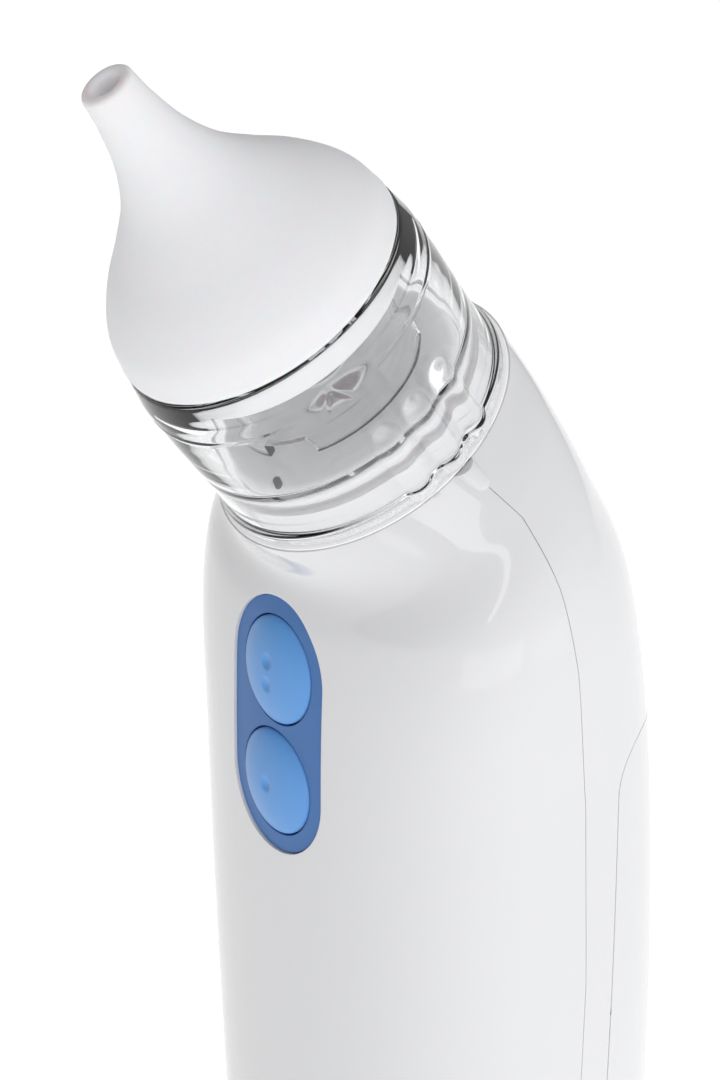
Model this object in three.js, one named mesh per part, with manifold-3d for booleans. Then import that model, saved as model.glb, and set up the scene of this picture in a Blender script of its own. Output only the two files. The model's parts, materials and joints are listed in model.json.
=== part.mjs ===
// Electric nasal aspirator: a battery handset whose suction head leans forward over the grip.
// Millimetres. Origin: middle of the flat base. +Z up, the buttons face -Y and the battery door +Y.
// The head's own frame has its origin at the middle of the cup's rim, with +Z out of the nozzle.
import * as THREE from "three";
import { ParametricGeometry } from "three/addons/geometries/ParametricGeometry.js";
import { mergeVertices } from "three/addons/utils/BufferGeometryUtils.js";
import Module from "manifold-3d";

const wasm = await Module();
wasm.setup();

// ---- driving dimensions ----
const GAP = 0.3; // assembly gap between touching pieces
const WALL = 2; // housing wall
const HEAD_TILT = THREE.MathUtils.degToRad(36.84); // head axis, forward of vertical
const RIM = new THREE.Vector3(0, -23.5, 137.7); // middle of the cup's rim
const NECK_TOP = -22.35; // top face of the housing's neck, on the head axis
const NECK_R = 17.9;
const BASE_ROUND = 5; // radius of the housing's bottom edge

// Housing outline from the neck down. front and back are the middle lines of the two sides as
// [y, z], half the half width, and power the superellipse exponent of the section between them.
const neckPoint = (side) => [
  RIM.y - NECK_TOP * Math.sin(HEAD_TILT) + side * NECK_R * Math.cos(HEAD_TILT),
  RIM.z + NECK_TOP * Math.cos(HEAD_TILT) + side * NECK_R * Math.sin(HEAD_TILT),
];
const STATIONS = [
  { front: neckPoint(-1), back: neckPoint(1), half: NECK_R, power: 2 },
  { front: [-20.8, 104.5], back: [6.4, 125.5], half: 22.7, power: 2.1 },
  { front: [-21.5, 98.5], back: [10, 117.5], half: 27, power: 2.2 },
  { front: [-21.9, 90.5], back: [14.8, 106.5], half: 28.5, power: 2.35 },
  { front: [-22.1, 78], back: [19.1, 86], half: 28.2, power: 2.4 },
  { front: [-21.9, 60], back: [21.1, 60], half: 28.1, power: 2.4 },
  { front: [-21.3, 38], back: [21.7, 38], half: 27.6, power: 2.4 },
  { front: [-20.7, 20], back: [21.5, 20], half: 27, power: 2.4 },
  { front: [-20.2, BASE_ROUND], back: [21.2, BASE_ROUND], half: 26.4, power: 2.4 },
];
// Parting line between the front and rear shells, seen from the side.
const PARTING = [
  [-9.9, 119.8],
  [-6.4, 115],
  [-4.6, 108],
  [-2.9, 98.5],
  [-1, 82],
  [0, 60],
  [0, 30],
  [1.5, 0],
];

// Wrap-round battery door. It tilts about its bottom edge, where two hooks hold it behind the base's
// lip, and a fingertip scoop at the top opens it.
const DOOR = { front: 4.2, top: 87.5, bottom: 5, corner: 6, gap: 0.4 };
const SCOOP = { r: 9, y: 27.2, z: 84.5 };
const HOOK = { x0: 1, x1: 4, y0: 16.9, y1: 18, z0: 3.4, z1: 7 };
const BULKHEAD = { y: -1, thick: 1.8 };
const MOTOR = { y: 1, r: 10, z0: 64.8, z1: 90 };
const NACELLE = { half: 15.5, back: 13.4, z0: 62, z1: 88 };

const PANEL = { half: 8.39, highZ: 93.3, lowZ: 79.9, floor: -21.1 };
const PAD = { half: 9.6, front: -18.9, back: -17.9 }; // flange that holds the pad behind the shell
const BUTTON = { r: 6.08, hole: 6.35, top: -22.45, edge: -21.35, back: -19, plunger: -17.8 };
const BOARD = { half: 12, z0: 63, z1: 104, front: -14.6, thick: 1.2 };
const SWITCH = { half: 3, front: -16.9, stemFront: -17.5, stemR: 1.6 };

const CUP = { rimR: 16.5, wallR: 17.1, waistR: 16.9, flangeR: 17.4, inR: 15.4, floor: -14.6 };
const GUARD = { r: 11.6, top: -4.9, wall: 1 };
const CHIMNEY = { in: 3.4, out: 4.4, top: -7.2 };
const RIBS = { angles: [-15, 0, 15], r: 1.4, from: -13, to: -21.4 };

// two AA cells head to tail; rise is how much higher the right one stands on its spring
const CELL = { r: 7.2, length: 50.5, x: 7.7, y: 10, z: 5.6, rise: 3 };
const CRADLE = { half: 16.8, back: 12.6, z0: 3.3, z1: 61.4, wall: 1.6 };

// ---- solids ----
// A closed three.js geometry as a manifold-3d solid.
function solid(geometry) {
  const loose = geometry.index ? geometry.toNonIndexed() : geometry.clone();
  loose.deleteAttribute("normal");
  loose.deleteAttribute("uv");
  const merged = mergeVertices(loose, 1e-3);
  const index = merged.index.array;
  const triangles = [];
  for (let i = 0; i < index.length; i += 3) {
    const [a, b, c] = index.slice(i, i + 3);
    if (a !== b && b !== c && c !== a) triangles.push(a, b, c);
  }
  return new wasm.Manifold(
    new wasm.Mesh({
      numProp: 3,
      vertProperties: merged.attributes.position.array,
      triVerts: Uint32Array.from(triangles),
    }),
  );
}

function geometryOf(shape) {
  const { vertProperties, triVerts, numProp } = shape.getMesh();
  const geometry = new THREE.BufferGeometry();
  geometry.setAttribute("position", new THREE.InterleavedBufferAttribute(
    new THREE.InterleavedBuffer(vertProperties, numProp), 3, 0));
  return geometry.setIndex(new THREE.BufferAttribute(triVerts, 1)).toNonIndexed();
}

const part = new THREE.Group();
const head = new THREE.Group();
head.position.copy(RIM);
head.rotation.x = HEAD_TILT;
head.updateMatrix();
part.add(head);
const headMatrix = head.matrix.clone();

function add(name, shape, material, group = part) {
  const mesh = new THREE.Mesh(geometryOf(shape), material);
  mesh.name = name;
  group.add(mesh);
  return shape;
}

const finish = (color, roughness, metalness = 0, opacity = 1) =>
  new THREE.MeshStandardMaterial({
    color, roughness, metalness, opacity, transparent: opacity < 1,
  });
const whiteShell = () => finish(0xf2f2f3, 0.25);
const blueSilicone = () => finish(0x3f7fc4, 0.5);
const clearPlastic = () => finish(0xf4f7fa, 0.08, 0, 0.35);
const frostedSilicone = () => finish(0xdde0e4, 0.5, 0, 0.85);
const greyPlastic = () => finish(0x8d9196, 0.5);
const blackPlastic = () => finish(0x22252a, 0.5);
const steel = () => finish(0xb9bdc2, 0.3, 1);
const springSteel = () => finish(0xc8ccd0, 0.3, 1);
const boardGreen = () => finish(0x1f6b45, 0.5);

const box = (x0, x1, y0, y1, z0, z1) =>
  solid(
    new THREE.BoxGeometry(x1 - x0, y1 - y0, z1 - z0).translate(
      (x0 + x1) / 2, (y0 + y1) / 2, (z0 + z1) / 2),
  );

// A body turned about Z. The profile is [r, z] points, from axis to axis or back to its start.
function turned(profile, segments = 24) {
  const points = profile.map(([r, z]) => new THREE.Vector2(r, z));
  return solid(new THREE.LatheGeometry(points, segments).rotateX(Math.PI / 2));
}
const ring = (rIn, rOut, z0, z1, segments = 24) =>
  turned([[rIn, z0], [rOut, z0], [rOut, z1], [rIn, z1], [rIn, z0]], segments);
const rod = (r, z0, z1, segments = 16) =>
  turned([[0, z0], [r, z0], [r, z1], [0, z1]], segments);
// The same cylinder lying along Y, from y0 to y1.
const rodY = (r, y0, y1, x, z, segments = 14) =>
  rod(r, -y1, -y0, segments).rotate([90, 0, 0]).translate([x, 0, z]);

function inHead(shape) {
  return solid(geometryOf(shape).applyMatrix4(headMatrix));
}

// An outline in x and z, pushed forwards from y = back by depth.
function plate(outline, back, depth) {
  const made = new THREE.ExtrudeGeometry(outline, {
    depth, bevelEnabled: false, curveSegments: 8,
  });
  return solid(made.rotateX(Math.PI / 2).translate(0, back, 0));
}
function stadium(half, z0, z1) {
  const s = new THREE.Shape();
  s.absarc(0, z1, half, 0, Math.PI);
  s.absarc(0, z0, half, Math.PI, 2 * Math.PI);
  return s;
}
// An outline in y and z, run across the whole body along X, or from -half to half.
function across(outline, half = 40) {
  const made = new THREE.ExtrudeGeometry(outline, {
    depth: 2 * half, bevelEnabled: false, curveSegments: 6,
  });
  // extruded along Z, then turned so that the outline's axes become Y and Z
  made.applyMatrix4(
    new THREE.Matrix4().makeBasis(
      new THREE.Vector3(0, 1, 0), new THREE.Vector3(0, 0, 1), new THREE.Vector3(1, 0, 0)),
  );
  return solid(made.translate(-half, 0, 0));
}
const polygon = (points) => new THREE.Shape(points.map(([a, b]) => new THREE.Vector2(a, b)));

// ---- housing body ----
// Catmull-Rom between the stations; t counts stations from the neck.
function station(t) {
  const last = STATIONS.length - 1;
  const i = Math.min(Math.floor(t), last - 1);
  const f = t - i;
  const pick = (read) => {
    const at = (j) => read(STATIONS[j]);
    const b = at(i), c = at(i + 1);
    const a = i > 0 ? at(i - 1) : 2 * b - c;
    const d = i + 2 <= last ? at(i + 2) : 2 * c - b;
    return 0.5 * (2 * b + (c - a) * f + (2 * a - 5 * b + 4 * c - d) * f * f +
      (3 * b - a - 3 * c + d) * f * f * f);
  };
  return {
    front: [pick((s) => s.front[0]), pick((s) => s.front[1])],
    back: [pick((s) => s.back[0]), pick((s) => s.back[1])],
    half: pick((s) => s.half),
    power: pick((s) => s.power),
  };
}

function insetSection({ front, back, half, power }, d) {
  const dy = back[0] - front[0], dz = back[1] - front[1];
  const k = d / Math.hypot(dy, dz);
  return {
    front: [front[0] + dy * k, front[1] + dz * k],
    back: [back[0] - dy * k, back[1] - dz * k],
    half: half - d,
    power,
  };
}

// The housing's volume, shrunk by inset all round, from station start down to a rounded bottom.
function bodyVolume({ inset, start, perStation, segments }) {
  const last = STATIONS.length - 1;
  const steps = Math.round((last - start) * perStation);
  const rows = [];
  for (let i = 0; i <= steps; i++)
    rows.push(insetSection(station(start + ((last - start) * i) / steps), inset));
  const foot = rows[rows.length - 1];
  const r = BASE_ROUND - inset;
  for (let i = 1; i <= 4; i++) {
    const angle = (i * Math.PI) / 8;
    const row = insetSection(foot, r * (1 - Math.cos(angle)));
    row.front[1] = row.back[1] = BASE_ROUND - r * Math.sin(angle);
    rows.push(row);
  }
  const pole = ({ front, back, power }) => {
    const middle = [(front[0] + back[0]) / 2, (front[1] + back[1]) / 2];
    return { front: middle, back: middle, half: 0, power };
  };
  rows.unshift(pole(rows[0]));
  rows.push(pole(rows[rows.length - 1]));
  const point = (u, v, target) => {
    const { front, back, half, power } = rows[Math.round(v * (rows.length - 1))];
    const angle = 2 * Math.PI * (u % 1);
    const round = (value) => Math.sign(value) * Math.abs(value) ** (2 / power);
    const x = round(Math.cos(angle)), y = round(Math.sin(angle));
    target.set(
      half * x,
      (front[0] + back[0]) / 2 + ((back[0] - front[0]) / 2) * y,
      (front[1] + back[1]) / 2 + ((back[1] - front[1]) / 2) * y,
    );
  };
  return facingOut(solid(new ParametricGeometry(point, segments, rows.length - 1)));
}

// Turns a solid's faces round if they point inwards.
function facingOut(shape) {
  if (shape.volume() > 0) return shape;
  const mesh = shape.getMesh();
  for (let i = 0; i < mesh.triVerts.length; i += 3)
    [mesh.triVerts[i + 1], mesh.triVerts[i + 2]] = [mesh.triVerts[i + 2], mesh.triVerts[i + 1]];
  return new wasm.Manifold(mesh);
}

const outer = bodyVolume({ inset: 0, start: 0, perStation: 1.75, segments: 32 });
const inner = bodyVolume({ inset: WALL, start: 0.45, perStation: 1.1, segments: 20 });
const innerClear = bodyVolume({ inset: WALL + GAP, start: 0.5, perStation: 1.1, segments: 20 });
const neckHole = inHead(rod(15.2, NECK_TOP - 6, NECK_TOP + 2, 28));
const deckPocket = inHead(rod(16.5, -28, -24.5, 28));
const shell = outer.subtract(inner).subtract(neckHole).subtract(deckPocket);

// everything forward of the parting line, shifted along Y
const forwardOf = (shift) =>
  across(polygon([
    [-60, -5], [PARTING[PARTING.length - 1][0] + shift, -5],
    ...PARTING.map(([y, z]) => [y + shift, z]).reverse(),
    [PARTING[0][0] + shift, 160], [-60, 160],
  ]));
const frontSpace = forwardOf(-GAP / 2);
const rearCutter = forwardOf(GAP / 2);

// Wrap-round battery door, seen from the side: an outline with one rounded corner.
function doorOutline(grow) {
  const s = new THREE.Shape();
  const y = DOOR.front - grow, top = DOOR.top + grow, r = DOOR.corner + grow;
  s.moveTo(y, DOOR.bottom - grow);
  s.lineTo(60, DOOR.bottom - grow);
  s.lineTo(60, top);
  s.lineTo(y + r, top);
  s.absarc(y + r, top - r, r, Math.PI / 2, Math.PI, false);
  return s;
}
const doorSpace = across(doorOutline(0));
const doorHole = across(doorOutline(DOOR.gap));

// Screw places: four case screws that the door hides.
const CASE_SCREWS = [
  ["upper_left", -20, 76],
  ["upper_right", 20, 76],
  ["lower_left", -20, 12],
  ["lower_right", 20, 12],
];
const BOARD_SCREWS = [["left", -8.5], ["right", 8.5]];
const BOARD_SCREW_Z = 66;

// Locating tab under the cup's middle grip rib, on each side of the neck. It marks where the cup
// locks, and belongs to the front shell.
function neckTab(side, grow = 0) {
  const from = new THREE.Vector3(16.9, 0, -22), to = new THREE.Vector3(18.6, 0, -24.8);
  const capsule = new THREE.CapsuleGeometry(1.4 + grow, from.distanceTo(to), 3, 12)
    .rotateX(Math.PI / 2)
    .applyQuaternion(new THREE.Quaternion().setFromUnitVectors(
      new THREE.Vector3(0, 0, 1), to.clone().sub(from).normalize()))
    .translate((from.x + to.x) / 2, 0, (from.z + to.z) / 2)
    .rotateZ(side > 0 ? 0 : Math.PI);
  return inHead(solid(capsule));
}
const tabs = neckTab(1).add(neckTab(-1)).subtract(inHead(rod(40, NECK_TOP, 0)));
const tabClearance = neckTab(1, GAP).add(neckTab(-1, GAP));

// front shell: button window, screw bosses and board posts
const tabsOutside = tabs.subtract(inner).subtract(neckHole).subtract(deckPocket);
let front = shell.intersect(frontSpace).add(tabsOutside);
for (const [, x, z] of CASE_SCREWS)
  front = front.add(rodY(3, -20, BULKHEAD.y - GAP, x, z).intersect(outer));
for (const [, x] of BOARD_SCREWS)
  front = front.add(rodY(2.2, -21, BOARD.front - GAP, x, BOARD_SCREW_Z).intersect(outer));
for (const [, x, z] of CASE_SCREWS) front = front.subtract(rodY(1.5, -13, 3, x, z, 12));
for (const [, x] of BOARD_SCREWS)
  front = front.subtract(rodY(1.1, -19.4, -14, x, BOARD_SCREW_Z, 16));
front = front.subtract(plate(stadium(PANEL.half, PANEL.lowZ, PANEL.highZ), -17, 8));
add("front_housing", front, whiteShell());

// rear shell: a bulkhead behind the board, and the box that carries the motor behind the door
const bulkheadBack = BULKHEAD.y + BULKHEAD.thick;
const insideFront = rearCutter.subtract(innerClear);
const nacelleHollow = box(
  -NACELLE.half + WALL, NACELLE.half - WALL, -5, NACELLE.back - WALL,
  NACELLE.z0 + WALL, NACELLE.z1 + 5);
const bulkhead = outer.intersect(box(-40, 40, BULKHEAD.y, bulkheadBack, 1, NACELLE.z1))
  .subtract(insideFront);
const nacelle = box(
  -NACELLE.half, NACELLE.half, BULKHEAD.y + 0.4, NACELLE.back, NACELLE.z0, NACELLE.z1);
// shelf that closes the space over the door's top edge
const shelf = outer.intersect(
  box(-40, 40, bulkheadBack - 0.4, 40, DOOR.top + DOOR.gap, DOOR.top + DOOR.gap + 1.6));
let rear = shell.subtract(rearCutter).subtract(doorHole).subtract(tabClearance);
rear = rear.add(bulkhead).add(nacelle).add(shelf).subtract(nacelleHollow);
for (const [, x, z] of CASE_SCREWS) rear = rear.subtract(rodY(1.6, -3, 3, x, z, 12));
add("rear_housing", rear, whiteShell());

const scoop = solid(new THREE.SphereGeometry(SCOOP.r, 24, 16)).translate([0, SCOOP.y, SCOOP.z]);
let door = shell.intersect(doorSpace).subtract(scoop);
for (const side of [-1, 1]) {
  const [x0, x1] = side > 0 ? [HOOK.x0, HOOK.x1] : [-HOOK.x1, -HOOK.x0];
  door = door.add(box(x0, x1, HOOK.y0, HOOK.y1, HOOK.z0, HOOK.z1))
    .add(box(x0, x1, HOOK.y0, 19.6, DOOR.bottom + 0.2, HOOK.z1));
}
add("battery_door", door, whiteShell());

// ---- buttons ----
const padWindow = PANEL.half - 0.2;
let pad = plate(stadium(padWindow, PANEL.lowZ, PANEL.highZ), PAD.front, PAD.front - PANEL.floor)
  .add(plate(stadium(PAD.half, PANEL.lowZ, PANEL.highZ), PAD.back, PAD.back - PAD.front));
for (const z of [PANEL.highZ, PANEL.lowZ])
  pad = pad.subtract(rodY(BUTTON.hole, -30, -10, 0, z, 24));
add("button_pad", pad, blueSilicone());

// A domed key with a plunger, turned about Y. Dimples mark the power step.
function button(name, z, dimples) {
  const depth = (y) => -y; // distance in front of the body's axis
  const profile = [
    [0, depth(BUTTON.plunger)], [1.6, depth(BUTTON.plunger)], [1.6, depth(BUTTON.back)],
    [BUTTON.r, depth(BUTTON.back)], [BUTTON.r, depth(BUTTON.edge)],
  ];
  const rise = depth(BUTTON.top) - depth(BUTTON.edge);
  for (let i = 1; i < 5; i++) {
    const angle = (i * Math.PI) / 10;
    profile.push([BUTTON.r * Math.cos(angle) ** 0.8, depth(BUTTON.edge) + rise * Math.sin(angle)]);
  }
  profile.push([0, depth(BUTTON.top)]);
  let key = turned(profile, 24).rotate([90, 0, 0]).translate([0, 0, z]);
  for (const dz of dimples)
    key = key.subtract(solid(
      new THREE.SphereGeometry(1.2, 8, 6).translate(0, BUTTON.top - 0.8, z + dz)));
  add(name, key, blueSilicone());
}
button("high_power_button", PANEL.highZ, [1.35, -1.35]);
button("low_power_button", PANEL.lowZ, [0]);

// ---- circuit board ----
const boardBack = BOARD.front + BOARD.thick;
let board = box(-BOARD.half, BOARD.half, BOARD.front, boardBack, BOARD.z0, BOARD.z1);
for (const [, x] of BOARD_SCREWS)
  board = board.subtract(rodY(1.3, -20, -10, x, BOARD_SCREW_Z, 16));
add("circuit_board", board, boardGreen());

for (const [level, z] of [["high", PANEL.highZ], ["low", PANEL.lowZ]]) {
  const h = SWITCH.half;
  const body = box(-h, h, SWITCH.front, BOARD.front - GAP, z - h, z + h)
    .subtract(rodY(SWITCH.stemR + GAP, SWITCH.front - 1, -15.4, 0, z));
  add(level + "_switch_body", body, blackPlastic());
  add(level + "_switch_stem", rodY(SWITCH.stemR, SWITCH.stemFront, -16.1, 0, z), greyPlastic());
}
add("motor_driver_chip",
  box(-4, 4, boardBack + GAP, boardBack + 2, 97, 102),
  blackPlastic());

// A pan-head screw along Y, its head towards +Y.
function screw(name, x, z, { r, headR, headY, headH, tip }) {
  const panHead = rodY(headR, headY, headY + headH, x, z, 12)
    .subtract(box(x - headR, x + headR, headY + headH - 0.6, headY + 9, z - 0.35, z + 0.35))
    .subtract(box(x - 0.35, x + 0.35, headY + headH - 0.6, headY + 9, z - headR, z + headR));
  add(name, panHead.add(rodY(r, tip, headY + 0.2, x, z, 10)), steel());
}
for (const [place, x, z] of CASE_SCREWS)
  screw("case_screw_" + place, x, z, {
    r: 1.25, headR: 2.6, headY: bulkheadBack + GAP, headH: 1.7, tip: -12,
  });
for (const [place, x] of BOARD_SCREWS)
  screw("board_screw_" + place, x, BOARD_SCREW_Z, {
    r: 0.9, headR: 1.8, headY: boardBack + GAP, headH: 1.2, tip: -18.6,
  });

// ---- motor and vacuum pump ----
const onMotorAxis = (shape) => shape.translate([0, MOTOR.y, 0]);
const can = turned([
  [1.4, MOTOR.z0 + 1], [4, MOTOR.z0 + 1], [4, MOTOR.z0], [MOTOR.r - 1, MOTOR.z0],
  [MOTOR.r, MOTOR.z0 + 1], [MOTOR.r, MOTOR.z1 - 2.6], [MOTOR.r - 1, MOTOR.z1 - 1.6],
  [3.4, MOTOR.z1 - 1.6], [3.4, MOTOR.z1], [1.4, MOTOR.z1], [1.4, MOTOR.z0 + 1],
], 20);
const flats = box(-7.6, 7.6, -20, 20, 60, 100);
add("motor", onMotorAxis(can.intersect(flats)), steel());
add("motor_shaft", onMotorAxis(rod(1, MOTOR.z0 + 1.4, 96.6, 16)), steel());

const crank = rod(5, 92.2, 94.6, 24).add(rod(1.5, 94, 98, 16).translate([2.2, 0, 0]))
  .subtract(rod(1.3, 90, 96.9, 16));
add("crank_disc", onMotorAxis(crank), finish(0xe9e6da, 0.5));

const pumpCase = ring(8.6, 10.4, 91.4, 100.4).add(ring(3.7, 10.4, 90.6, 91.9));
add("pump_case", onMotorAxis(pumpCase), blackPlastic());
const diaphragm = turned([
  [0, 98.6], [1.2, 98.6], [1.2, 100.7], [5.5, 100.7], [6.6, 101.3], [7.8, 100.7],
  [10.2, 100.7], [10.2, 101.6], [7.8, 101.6], [6.6, 102.2], [5.5, 101.6], [0, 101.6],
], 20);
add("pump_diaphragm", onMotorAxis(diaphragm), blackPlastic());
const NIPPLE = { y: -5, top: 111, r: 1.9 };
const pumpHead = turned([
  [0, 103.4], [7.4, 103.4], [7.4, 101.9], [10.4, 101.9], [10.4, 105.4], [8.6, 107], [0, 107],
], 24);
const nipple = (r, z0, z1) => rod(r, z0, z1, 16).translate([0, NIPPLE.y, 0]);
add("pump_head",
  onMotorAxis(pumpHead.add(nipple(NIPPLE.r, 106, NIPPLE.top)).subtract(nipple(1, 102, 113))),
  greyPlastic());

// ---- suction head, in its own frame ----
// white deck that closes the handset under the cup, with the suction port in the middle
const DECK = { r: 14.7, top: -16.1, flangeR: 16.2 };
const deck = turned([
  [1.3, -30], [1.9, -30], [1.9, -25.3], [13.2, -25.3], [13.2, -26.1], [DECK.flangeR, -26.1],
  [DECK.flangeR, -24.9], [DECK.r, -24.9], [DECK.r, -19.4], [13.9, -19.2], [13.9, -17.8],
  [DECK.r, -17.6], [DECK.r, -16.9], [13.9, DECK.top], [2.5, DECK.top], [2.5, -13.2],
  [1.3, -13.2], [1.3, -30],
], 24);
const pinhole = solid(new THREE.BoxGeometry(1.7, 0.9, 6).rotateZ(-0.35).translate(4.6, -12.6, -17));
add("suction_deck", deck.subtract(pinhole), whiteShell(), head);
add("port_seal", ring(2.7, 3.1, -15.8, -13.6, 24), frostedSilicone(), head);
add("cup_seal_ring",
  solid(new THREE.TorusGeometry(14.65, 0.55, 6, 28).translate(0, 0, -18.5)), frostedSilicone(), head);

// clear collection cup: wall, floor and hollow chimney, with grip ribs and a fill line
let cup = turned([
  [CUP.rimR, -0.5], [CUP.rimR, -1], [CUP.wallR, -4], [CUP.wallR, -9], [CUP.waistR, -17],
  [CUP.waistR, -20.4], [CUP.flangeR, -20.8], [CUP.flangeR, -22.05],
  [15.5, -22.05], [15.5, -15.8], [CHIMNEY.in, -15.8], [CHIMNEY.in, CHIMNEY.top],
  [CHIMNEY.out, CHIMNEY.top], [CHIMNEY.out, CUP.floor], [CUP.inR, CUP.floor], [CUP.inR, -0.5],
  [CUP.rimR, -0.5],
].reverse(), 28);
const fillLine = ring(16.6, 17.3, -5.85, -5.5, 28).subtract(box(11, 20, -10.5, -1, -10, 0));
cup = cup.add(fillLine);
for (const side of [0, 180])
  for (const degrees of RIBS.angles) {
    const angle = THREE.MathUtils.degToRad(side ? 180 - degrees : degrees);
    const rib = new THREE.CapsuleGeometry(RIBS.r, RIBS.from - RIBS.to, 2, 8)
      .rotateX(Math.PI / 2)
      .translate(16.6, 0, (RIBS.from + RIBS.to) / 2)
      .rotateZ(angle);
    cup = cup.add(solid(rib).subtract(rod(15.8, -40, 0, 28)).subtract(rod(30, -40, -22.05, 6)));
  }
add("collection_cup", cup, clearPlastic(), head);

// clear splash guard over the chimney, with three drain slots
const guardCurve = [];
for (let i = 0; i <= 3; i++) {
  const a = (i * Math.PI) / 6;
  guardCurve.push([7.6 + (GUARD.r - 7.6) * Math.cos(a), -8.4 + (GUARD.top + 8.4) * Math.sin(a)]);
}
const hollow = [...guardCurve].reverse().map(([r, z]) => [r - GUARD.wall, z - GUARD.wall]);
let guard = turned([
  [GUARD.r - GUARD.wall, -14.3], [GUARD.r, -14.3], ...guardCurve, [0, GUARD.top],
  [0, GUARD.top - GUARD.wall], ...hollow, [GUARD.r - GUARD.wall, -14.3],
], 24);
for (const degrees of [60, 180, 300])
  guard = guard.subtract(solid(
    new THREE.BoxGeometry(6, 5, 2.4).translate(GUARD.r, 0, -13.3)
      .rotateZ(THREE.MathUtils.degToRad(degrees))));
add("splash_guard", guard, clearPlastic(), head);

// soft nozzle: bell with a plug lip that seats in the cup
const bell = new THREE.SplineCurve([
  [16.45, 0.4], [15.6, 3.67], [13.25, 7.33], [10, 11], [6.5, 15.4], [4.35, 20], [3.25, 24.5],
  [2.95, 27],
].map(([r, z]) => new THREE.Vector2(r, z))).getPoints(9).map((p) => [p.x, p.y]);
const bellInside = new THREE.SplineCurve([
  [1.3, 21.5], [2.6, 18.2], [4.9, 15], [8.3, 10.6], [11.5, 7], [13.3, 3.6], [13.6, 0],
].map(([r, z]) => new THREE.Vector2(r, z))).getPoints(6).map((p) => [p.x, p.y]);
const nozzle = turned([
  [13.6, -4], [14.9, -4], [15.05, -0.2], [16.4, -0.2], ...bell, [2.75, 27.8], [2.2, 28.4],
  [1.7, 28.4], [1.3, 28], ...bellInside, [13.6, -4],
], 28);
add("silicone_nozzle", nozzle, frostedSilicone(), head);

// hose from the pump to the port
const spigotEnd = {
  y: RIM.y + 29.6 * Math.sin(HEAD_TILT),
  z: RIM.z - 29.6 * Math.cos(HEAD_TILT),
};
const hosePath = new THREE.CatmullRomCurve3([
  new THREE.Vector3(0, spigotEnd.y - 1.5, spigotEnd.z + 2),
  new THREE.Vector3(0, spigotEnd.y + 0.4, spigotEnd.z - 0.6),
  new THREE.Vector3(0, MOTOR.y + NIPPLE.y - 0.1, 111.6),
  new THREE.Vector3(0, MOTOR.y + NIPPLE.y, 107.4),
]);
const tube = (r, sides) => {
  const circle = new THREE.Shape().absarc(0, 0, r, 0, 2 * Math.PI);
  return solid(new THREE.ExtrudeGeometry(circle, {
    extrudePath: hosePath, steps: 7, curveSegments: sides,
  }));
};
add("suction_hose", facingOut(tube(3, 6)).subtract(facingOut(tube(2.25, 6))), frostedSilicone());

// ---- batteries and contacts ----
const cradleInside = { z0: CRADLE.z0 + CRADLE.wall, z1: CRADLE.z1 - CRADLE.wall };
const cradle = box(
  -CRADLE.half, CRADLE.half, bulkheadBack + GAP, CRADLE.back, CRADLE.z0, CRADLE.z1,
).subtract(box(
  -CRADLE.half + CRADLE.wall, CRADLE.half - CRADLE.wall, bulkheadBack + GAP + 1.2, 20,
  cradleInside.z0, cradleInside.z1,
));
add("battery_cradle", cradle, blackPlastic());

const cell = turned([
  [0, 0], [CELL.r - 0.4, 0], [CELL.r, 0.4], [CELL.r, CELL.length - 2.1],
  [CELL.r - 0.5, CELL.length - 1.4], [2.7, CELL.length - 1.4], [2.7, CELL.length],
  [0, CELL.length],
], 20);
const wrapper = () => finish(0x3b4046, 0.35, 0.4);
add("battery_right", cell.translate([CELL.x, CELL.y, CELL.z + CELL.rise]), wrapper());
add("battery_left",
  cell.rotate([180, 0, 0]).translate([-CELL.x, CELL.y, CELL.z + CELL.length]), wrapper());

// Contacts: thin plates at the cells' ends, with a conical spring where a cell's flat end sits.
const contactPlate = (x0, x1, z) => box(x0, x1, CELL.y - 3.7, CELL.y + 4.5, z, z + 0.4);
const springCone = (x, z, height, up) =>
  turned(up ? [[0, 0], [4, 0], [2.6, height], [0, height]]
    : [[0, -height], [2.6, -height], [4, 0], [0, 0]], 16).translate([x, CELL.y, z]);
const plateLow = cradleInside.z0 + 0.15, plateHigh = cradleInside.z1 - 0.55;
add("positive_contact", contactPlate(-CELL.x - 4, -CELL.x + 4, plateLow), springSteel());
add("negative_contact",
  contactPlate(CELL.x - 4.2, CELL.x + 4.2, plateLow)
    .add(springCone(CELL.x, plateLow + 0.2, CELL.z + CELL.rise - GAP - plateLow - 0.2, true)),
  springSteel());
const leftTop = CELL.z + CELL.length;
add("bridge_contact",
  contactPlate(-CELL.x - 4.2, CELL.x + 4.2, plateHigh)
    .add(springCone(-CELL.x, plateHigh + 0.2, plateHigh + 0.2 - leftTop - GAP, false)),
  springSteel());

// motor leads, from the board to the motor's end cap
function lead(name, side, color) {
  const path = new THREE.CatmullRomCurve3([
    new THREE.Vector3(side * 5, boardBack + GAP, 68),
    new THREE.Vector3(side * 5, -11.6, 67.4),
    new THREE.Vector3(side * 4.4, -10.6, 64.2),
    new THREE.Vector3(side * 4, -8.2, 62.6),
    new THREE.Vector3(side * 4, -6.2, 62.9),
    new THREE.Vector3(side * 4, -5.8, MOTOR.z0 - GAP),
  ]);
  const circle = new THREE.Shape().absarc(0, 0, 0.6, 0, 2 * Math.PI);
  const made = new THREE.ExtrudeGeometry(circle, {
    extrudePath: path, steps: 12, curveSegments: 3,
  });
  add(name, facingOut(solid(made)), finish(color, 0.5));
}
lead("motor_lead_red", 1, 0xb3282d);
lead("motor_lead_black", -1, 0x1c1d20);

export default part;
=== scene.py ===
import json
import math

import bmesh
import bpy
import numpy as np
from mathutils import Matrix, Vector


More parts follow.
